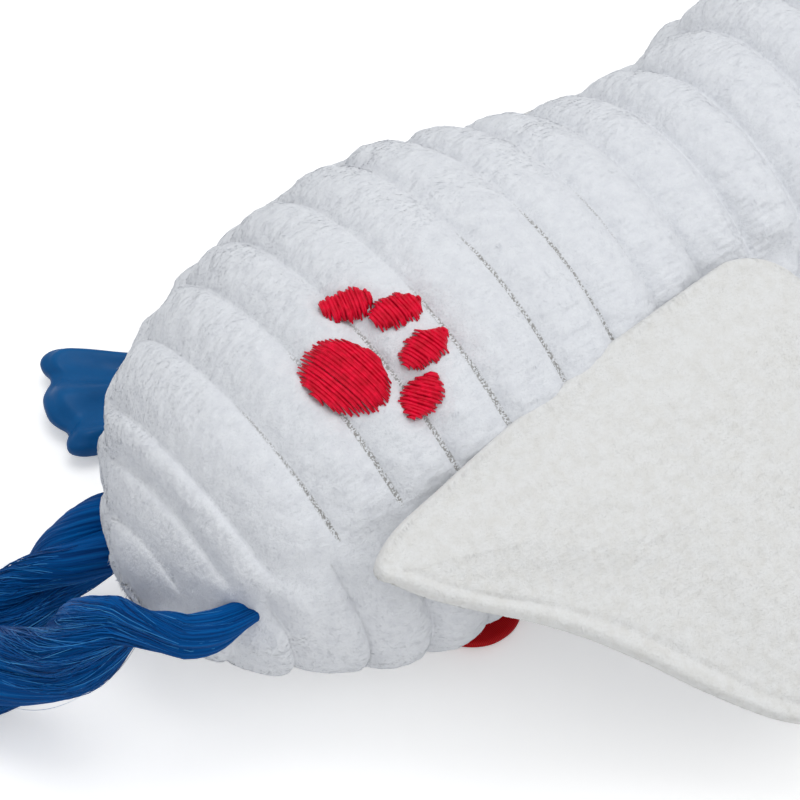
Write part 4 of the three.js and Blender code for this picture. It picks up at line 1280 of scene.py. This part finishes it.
# Each white skin with its tufts to the square millimetre, their lay and their seed.
WHITE_SKINS = [
    (body_back, 2.4, TORSO_LAY, 100), (body_belly, 1.8, TORSO_LAY, 150),
    (neck_back, 2.0, TORSO_LAY, 200), (neck_front, 1.6, TORSO_LAY, 250),
    (head_left, 2.0, HEAD_LAY, 400), (head_right, 2.0, HEAD_LAY, 450),
]
for skin, per_mm2, lay, seed in WHITE_SKINS:
    tufts = pile(skin, per_mm2, PILE_LENGTH, PILE_WIDTH, lay, seed, white_pile)
    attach(tufts, "goose")
    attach(skin, "goose")
for wing, top_skin, under_skin in wing_pieces:
    start = place(wing.back - wing.level * 9).tolist()
    end = place(wing.back + wing.level * 3).tolist()
    for n, (skin, per_mm2) in enumerate(((top_skin, 2.6), (under_skin, 1.5))):
        seed = 500 + 60 * (wing.side + 1) + n
        tufts = pile(skin, per_mm2, WING_PILE_LENGTH, WING_PILE_WIDTH, WING_LAY, seed, cream_pile)
        for piece in (skin, tufts):
            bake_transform(piece)


# Stitched paw print

PAW_STATION = 53.0
PAW_ANGLE = math.radians(19)
BACK_RADIUS = 45.0
STITCH_PITCH = 0.36
STITCH_SECTIONS = 7
SHORTEST_STITCH = 0.6  # half its length


def on_back(ahead, across):
    """A point on the back's ribs, ahead of the paw's middle and across to the right."""
    distance = np.asarray(PAW_STATION + ahead, float)
    angle = PAW_ANGLE + np.asarray(across, float) / BACK_RADIUS
    point, valley, _, _ = torso_skin(distance, angle, 0)
    return point, unit(point - torso(distance)[0]), valley


def stitches(name, pad, seed, material, surface, height, thick):
    """Satin stitches across an oval pad, drawn tight at their ends and full in the middle."""
    draw = np.random.default_rng(seed)
    ahead, across, long, wide, turn = pad
    cos, sin = math.cos(turn), math.sin(turn)
    v = np.linspace(-1, 1, STITCH_SECTIONS)
    size = thick * np.where(np.abs(v) > 0.9, 0.5, 1.0)[:, None]
    points, faces = [], []
    rows = int(long / STITCH_PITCH)
    for row in range(rows):
        u = (row + 0.5) / rows * 2 - 1
        half = wide / 2 * math.sqrt(max(0.0, 1 - u * u)) + draw.uniform(-0.5, 0.7)
        if half < SHORTEST_STITCH:
            continue
        x = u * long / 2 + 0.18 * half * v + draw.normal() * 0.08
        y = v * half
        base, outward, valley = surface(ahead + x * cos - y * sin, across + x * sin + y * cos)
        hump = height * (1 - v**4) + 0.25 * (row % 2) + valley
        middle = base + outward * hump[:, None]
        side = unit(np.cross(unit(np.gradient(middle, axis=0)), outward)) * size
        up = outward * size
        ring = np.stack([middle + side, middle + up, middle - side, middle - up], 1)
        faces += tube_faces(*ring.shape[:2], len(points) * ring.shape[0] * ring.shape[1])
        points.append(ring.reshape(-1, 3))
    return mesh_piece(name, np.concatenate(points), faces, material)


PAW_PADS = [
    ("embroidered_paw_pad", (-5.5, 0, 13, 17, 0.0)),
    ("embroidered_paw_toe_1", (3.5, -11.2, 9, 6.4, 0.5)),
    ("embroidered_paw_toe_2", (9.0, -4.4, 9.6, 6.4, 0.15)),
    ("embroidered_paw_toe_3", (9.0, 4.4, 9.6, 6.4, -0.15)),
    ("embroidered_paw_toe_4", (3.5, 11.2, 9, 6.4, -0.5)),
]
for n, (node, pad) in enumerate(PAW_PADS):
    name = node.replace("embroidered", "stitched")
    stand_in(stitches(name, pad, 700 + n, crimson, on_back, 1.5, 0.33), "goose", node)


# Eyes and beak

EYE_AHEAD = 12.9
EYE_RISE = 8.4
EYE_PAD = (0, 0, 9, 9, 0.3)


def on_head(side):
    """The head's side as a surface to stitch on."""
    def surface(x, y):
        """Places on the head's side: x ahead and y up from the eye's middle."""
        ahead = (EYE_AHEAD + np.asarray(x, float)) / HEAD_HALF[0]
        rise = (EYE_RISE + np.asarray(y, float)) / HEAD_HALF[2]
        out = np.sqrt(np.maximum(0.05, 1 - ahead**2 - rise**2))
        shape = np.stack([ahead, side * out, rise], -1)
        return HEAD_CENTRE + shape * HEAD_HALF, unit(shape / HEAD_HALF), np.zeros(np.shape(ahead))

    return surface


for word, side in (("left", 1), ("right", -1)):
    eye = stitches(f"eye_{word}_stitched", EYE_PAD, 750 + side, black, on_head(side), 1.3, 0.26)
    stand_in(eye, "goose", f"eye_{word}")

BEAK_ROOT = HEAD_CENTRE + np.array([HEAD_LENGTH / 2 - 8, 0, -HEAD_HEIGHT * 0.12])
BEAK_PARTING = 0.25
NOSTRIL_AHEAD = 17
NOSTRIL_ASIDE = 6.4


def ended(along, start, length):
    """1, falling to 0 beyond start as a quarter of an oval does."""
    return np.sqrt(np.clip(1 - ((along - start) / length).clip(0) ** 2, 0, 1))


def beak_half(name, side, reach, width, height):
    """Half of a broad rounded bill, with its mouth edge and, above, two nostrils."""
    rows, columns = 60, 56
    along = np.linspace(0, 1, rows)[:, None]
    turn = np.linspace(0, math.pi, columns)[None, :]
    wide = width * (1 - 0.14 * along + 0.1 * np.sin(math.pi * along**1.4)) * ended(along, 0.7, 0.3)
    tall = height * (1 - 0.62 * along**0.85) * ended(along, 0.82, 0.18)
    lip = 0.7 * bell(np.sin(turn), 0, 0.16)
    y = np.cos(turn) * wide + np.sign(np.cos(turn)) * lip * np.sqrt(np.clip(1 - along**6, 0, 1))
    x = np.broadcast_to(along * reach, y.shape)
    z = np.sin(turn) ** 0.85 * tall
    if side > 0:
        for left in (-1, 1):
            away = ((x - NOSTRIL_AHEAD) / 3.4) ** 2 + ((y - left * NOSTRIL_ASIDE) / 1.5) ** 2
            z = z - 1.1 * np.exp(-away) + 0.35 * np.exp(-((np.sqrt(away) - 1.5) ** 2) / 0.15)
    gap = side * BEAK_PARTING
    sag = -1.6 * along**2
    level = np.linspace(1, -1, columns)[None, :] * np.abs(y[:, :1])
    outside = np.stack([x, y, side * z + gap + sag], -1)
    inside = np.stack(np.broadcast_arrays(x, level, gap + sag), -1)
    faces = grid_faces(rows, columns, flip=side < 0).tolist()
    faces += grid_faces(rows, columns, rows * columns, flip=side > 0).tolist()
    points = BEAK_ROOT + np.concatenate([outside, inside]).reshape(-1, 3)
    return mesh_piece(name, points, faces, rubber)


beak_upper = beak_half("beak_upper_moulded", 1, 42.0, 16.6, 13.2)
beak_lower = beak_half("beak_lower_moulded", -1, 39.0, 15.2, 7.6)
stand_in(beak_upper, "goose", "beak_upper")
stand_in(beak_lower, "goose", "beak_lower")


# Label

LABEL_PLACE = (65.0, -18.6)


LABEL_HALF_WIDTH = 8.0
LABEL_LENGTH = 12.5
TAPE = 0.45


def label_tab():
    """A folded satin tab: a rounded loop of tape that lies out from the belly seam."""
    columns, rows = 34, 46
    across = np.linspace(-1, 1, columns)[None, :]
    run = np.linspace(0, 1, rows)[:, None] * 2
    out = np.where(run < 1, run, 2 - run)
    fold = LABEL_LENGTH * (1 - 0.32 * np.abs(across) ** 2.6)
    reach = np.sin(np.clip(out, 0, 1) * math.pi / 2) * fold
    x = LABEL_PLACE[0] + across * LABEL_HALF_WIDTH
    z = 0.5 + 1.3 * smooth(run, 0.75, 1.25) + 0.35 * np.sin(across * 2.2) ** 2
    points = np.stack(np.broadcast_arrays(x, LABEL_PLACE[1] - reach, z), -1)
    faces = grid_faces(rows, columns).tolist()
    piece = mesh_piece("label_tab", points.reshape(-1, 3), faces, satin)
    solid = piece.modifiers.new("thickness", "SOLIDIFY")
    solid.thickness = TAPE * MM
    solid.offset = 0
    return piece


stand_in(label_tab(), "goose", "label_loop")


# Solids that stay, inside the toy

INNER_SOLIDS = {
    "squeaker_bulb": vinyl, "squeaker_reed": vinyl,
    "leg_left_root_knot": loose_fibre, "leg_right_root_knot": loose_fibre,
}
for node, material in INNER_SOLIDS.items():
    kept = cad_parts[node]
    kept.data.materials.clear()
    kept.data.materials.append(material)


# Floor, background and light

FLOOR_HALF = 4.0  # metres
FLOOR_COLOUR = (0.95, 0.945, 0.94, 1)
FLOOR_LIFT = 0.35
AMBIENT = 0.66
AMBIENT_COLOUR = (0.96, 0.98, 1.0, 1)


def make_floor():
    """A pale floor that glows a little to the camera, so that it shows nearly white."""
    mesh = bpy.data.meshes.new("floor")
    signs = ((-1, -1), (1, -1), (1, 1), (-1, 1))
    mesh.from_pydata([(x * FLOOR_HALF, y * FLOOR_HALF, 0) for x, y in signs], [], [(0, 1, 2, 3)])
    made = Shader("pale_floor", Roughness=0.85, Base_Color=FLOOR_COLOUR)
    glow = made.node("ShaderNodeEmission", {"Color": grey(1), "Strength": FLOOR_LIFT})
    seen = made.node("ShaderNodeLightPath").outputs["Is Camera Ray"]
    dark = made.node("ShaderNodeEmission", {"Color": grey(0), "Strength": 0.0})
    pick = made.node("ShaderNodeMixShader", {0: seen, 1: dark.outputs[0], 2: glow.outputs[0]})
    both = made.node("ShaderNodeAddShader", {0: made.main.outputs[0], 1: pick.outputs[0]})
    put(made.tree, made.tree.nodes["Material Output"].inputs["Surface"], both.outputs[0])
    link("floor", mesh, made.material, False)


def make_world():
    """Soft light from all round, and plain white where the camera sees past the floor."""
    world = bpy.data.worlds.new("studio")
    world.use_nodes = True
    bpy.context.scene.world = world
    tree = world.node_tree
    light = tree.nodes["Background"]
    put(tree, light.inputs["Color"], AMBIENT_COLOUR)
    put(tree, light.inputs["Strength"], AMBIENT)
    white = add_node(tree, "ShaderNodeBackground", {"Color": grey(1), "Strength": 1.0})
    seen = add_node(tree, "ShaderNodeLightPath").outputs["Is Camera Ray"]
    values = {0: seen, 1: light.outputs[0], 2: white.outputs[0]}
    pick = add_node(tree, "ShaderNodeMixShader", values)
    put(tree, tree.nodes["World Output"].inputs["Surface"], pick.outputs[0])


def area_light(name, position, target, size, power):
    """A round light that faces its target, with its width in metres and its power in watts."""
    data = bpy.data.lights.new(name, "AREA")
    data.shape = "DISK"
    data.size = size
    data.energy = power
    lamp = bpy.data.objects.new(name, data)
    bpy.context.scene.collection.objects.link(lamp)
    lamp.location = position
    lamp.rotation_mode = "QUATERNION"
    lamp.rotation_quaternion = (Vector(target) - Vector(position)).to_track_quat("-Z", "Y")


make_floor()
make_world()
area_light("softbox_front", (0.15, -0.95, 1.1), (-0.05, 0, 0.05), 1.0, 3.8)
area_light("softbox_over", (-0.02, 0.12, 1.4), (-0.1, 0, 0.05), 0.9, 5.5)

bpy.context.scene.view_settings.view_transform = "Standard"
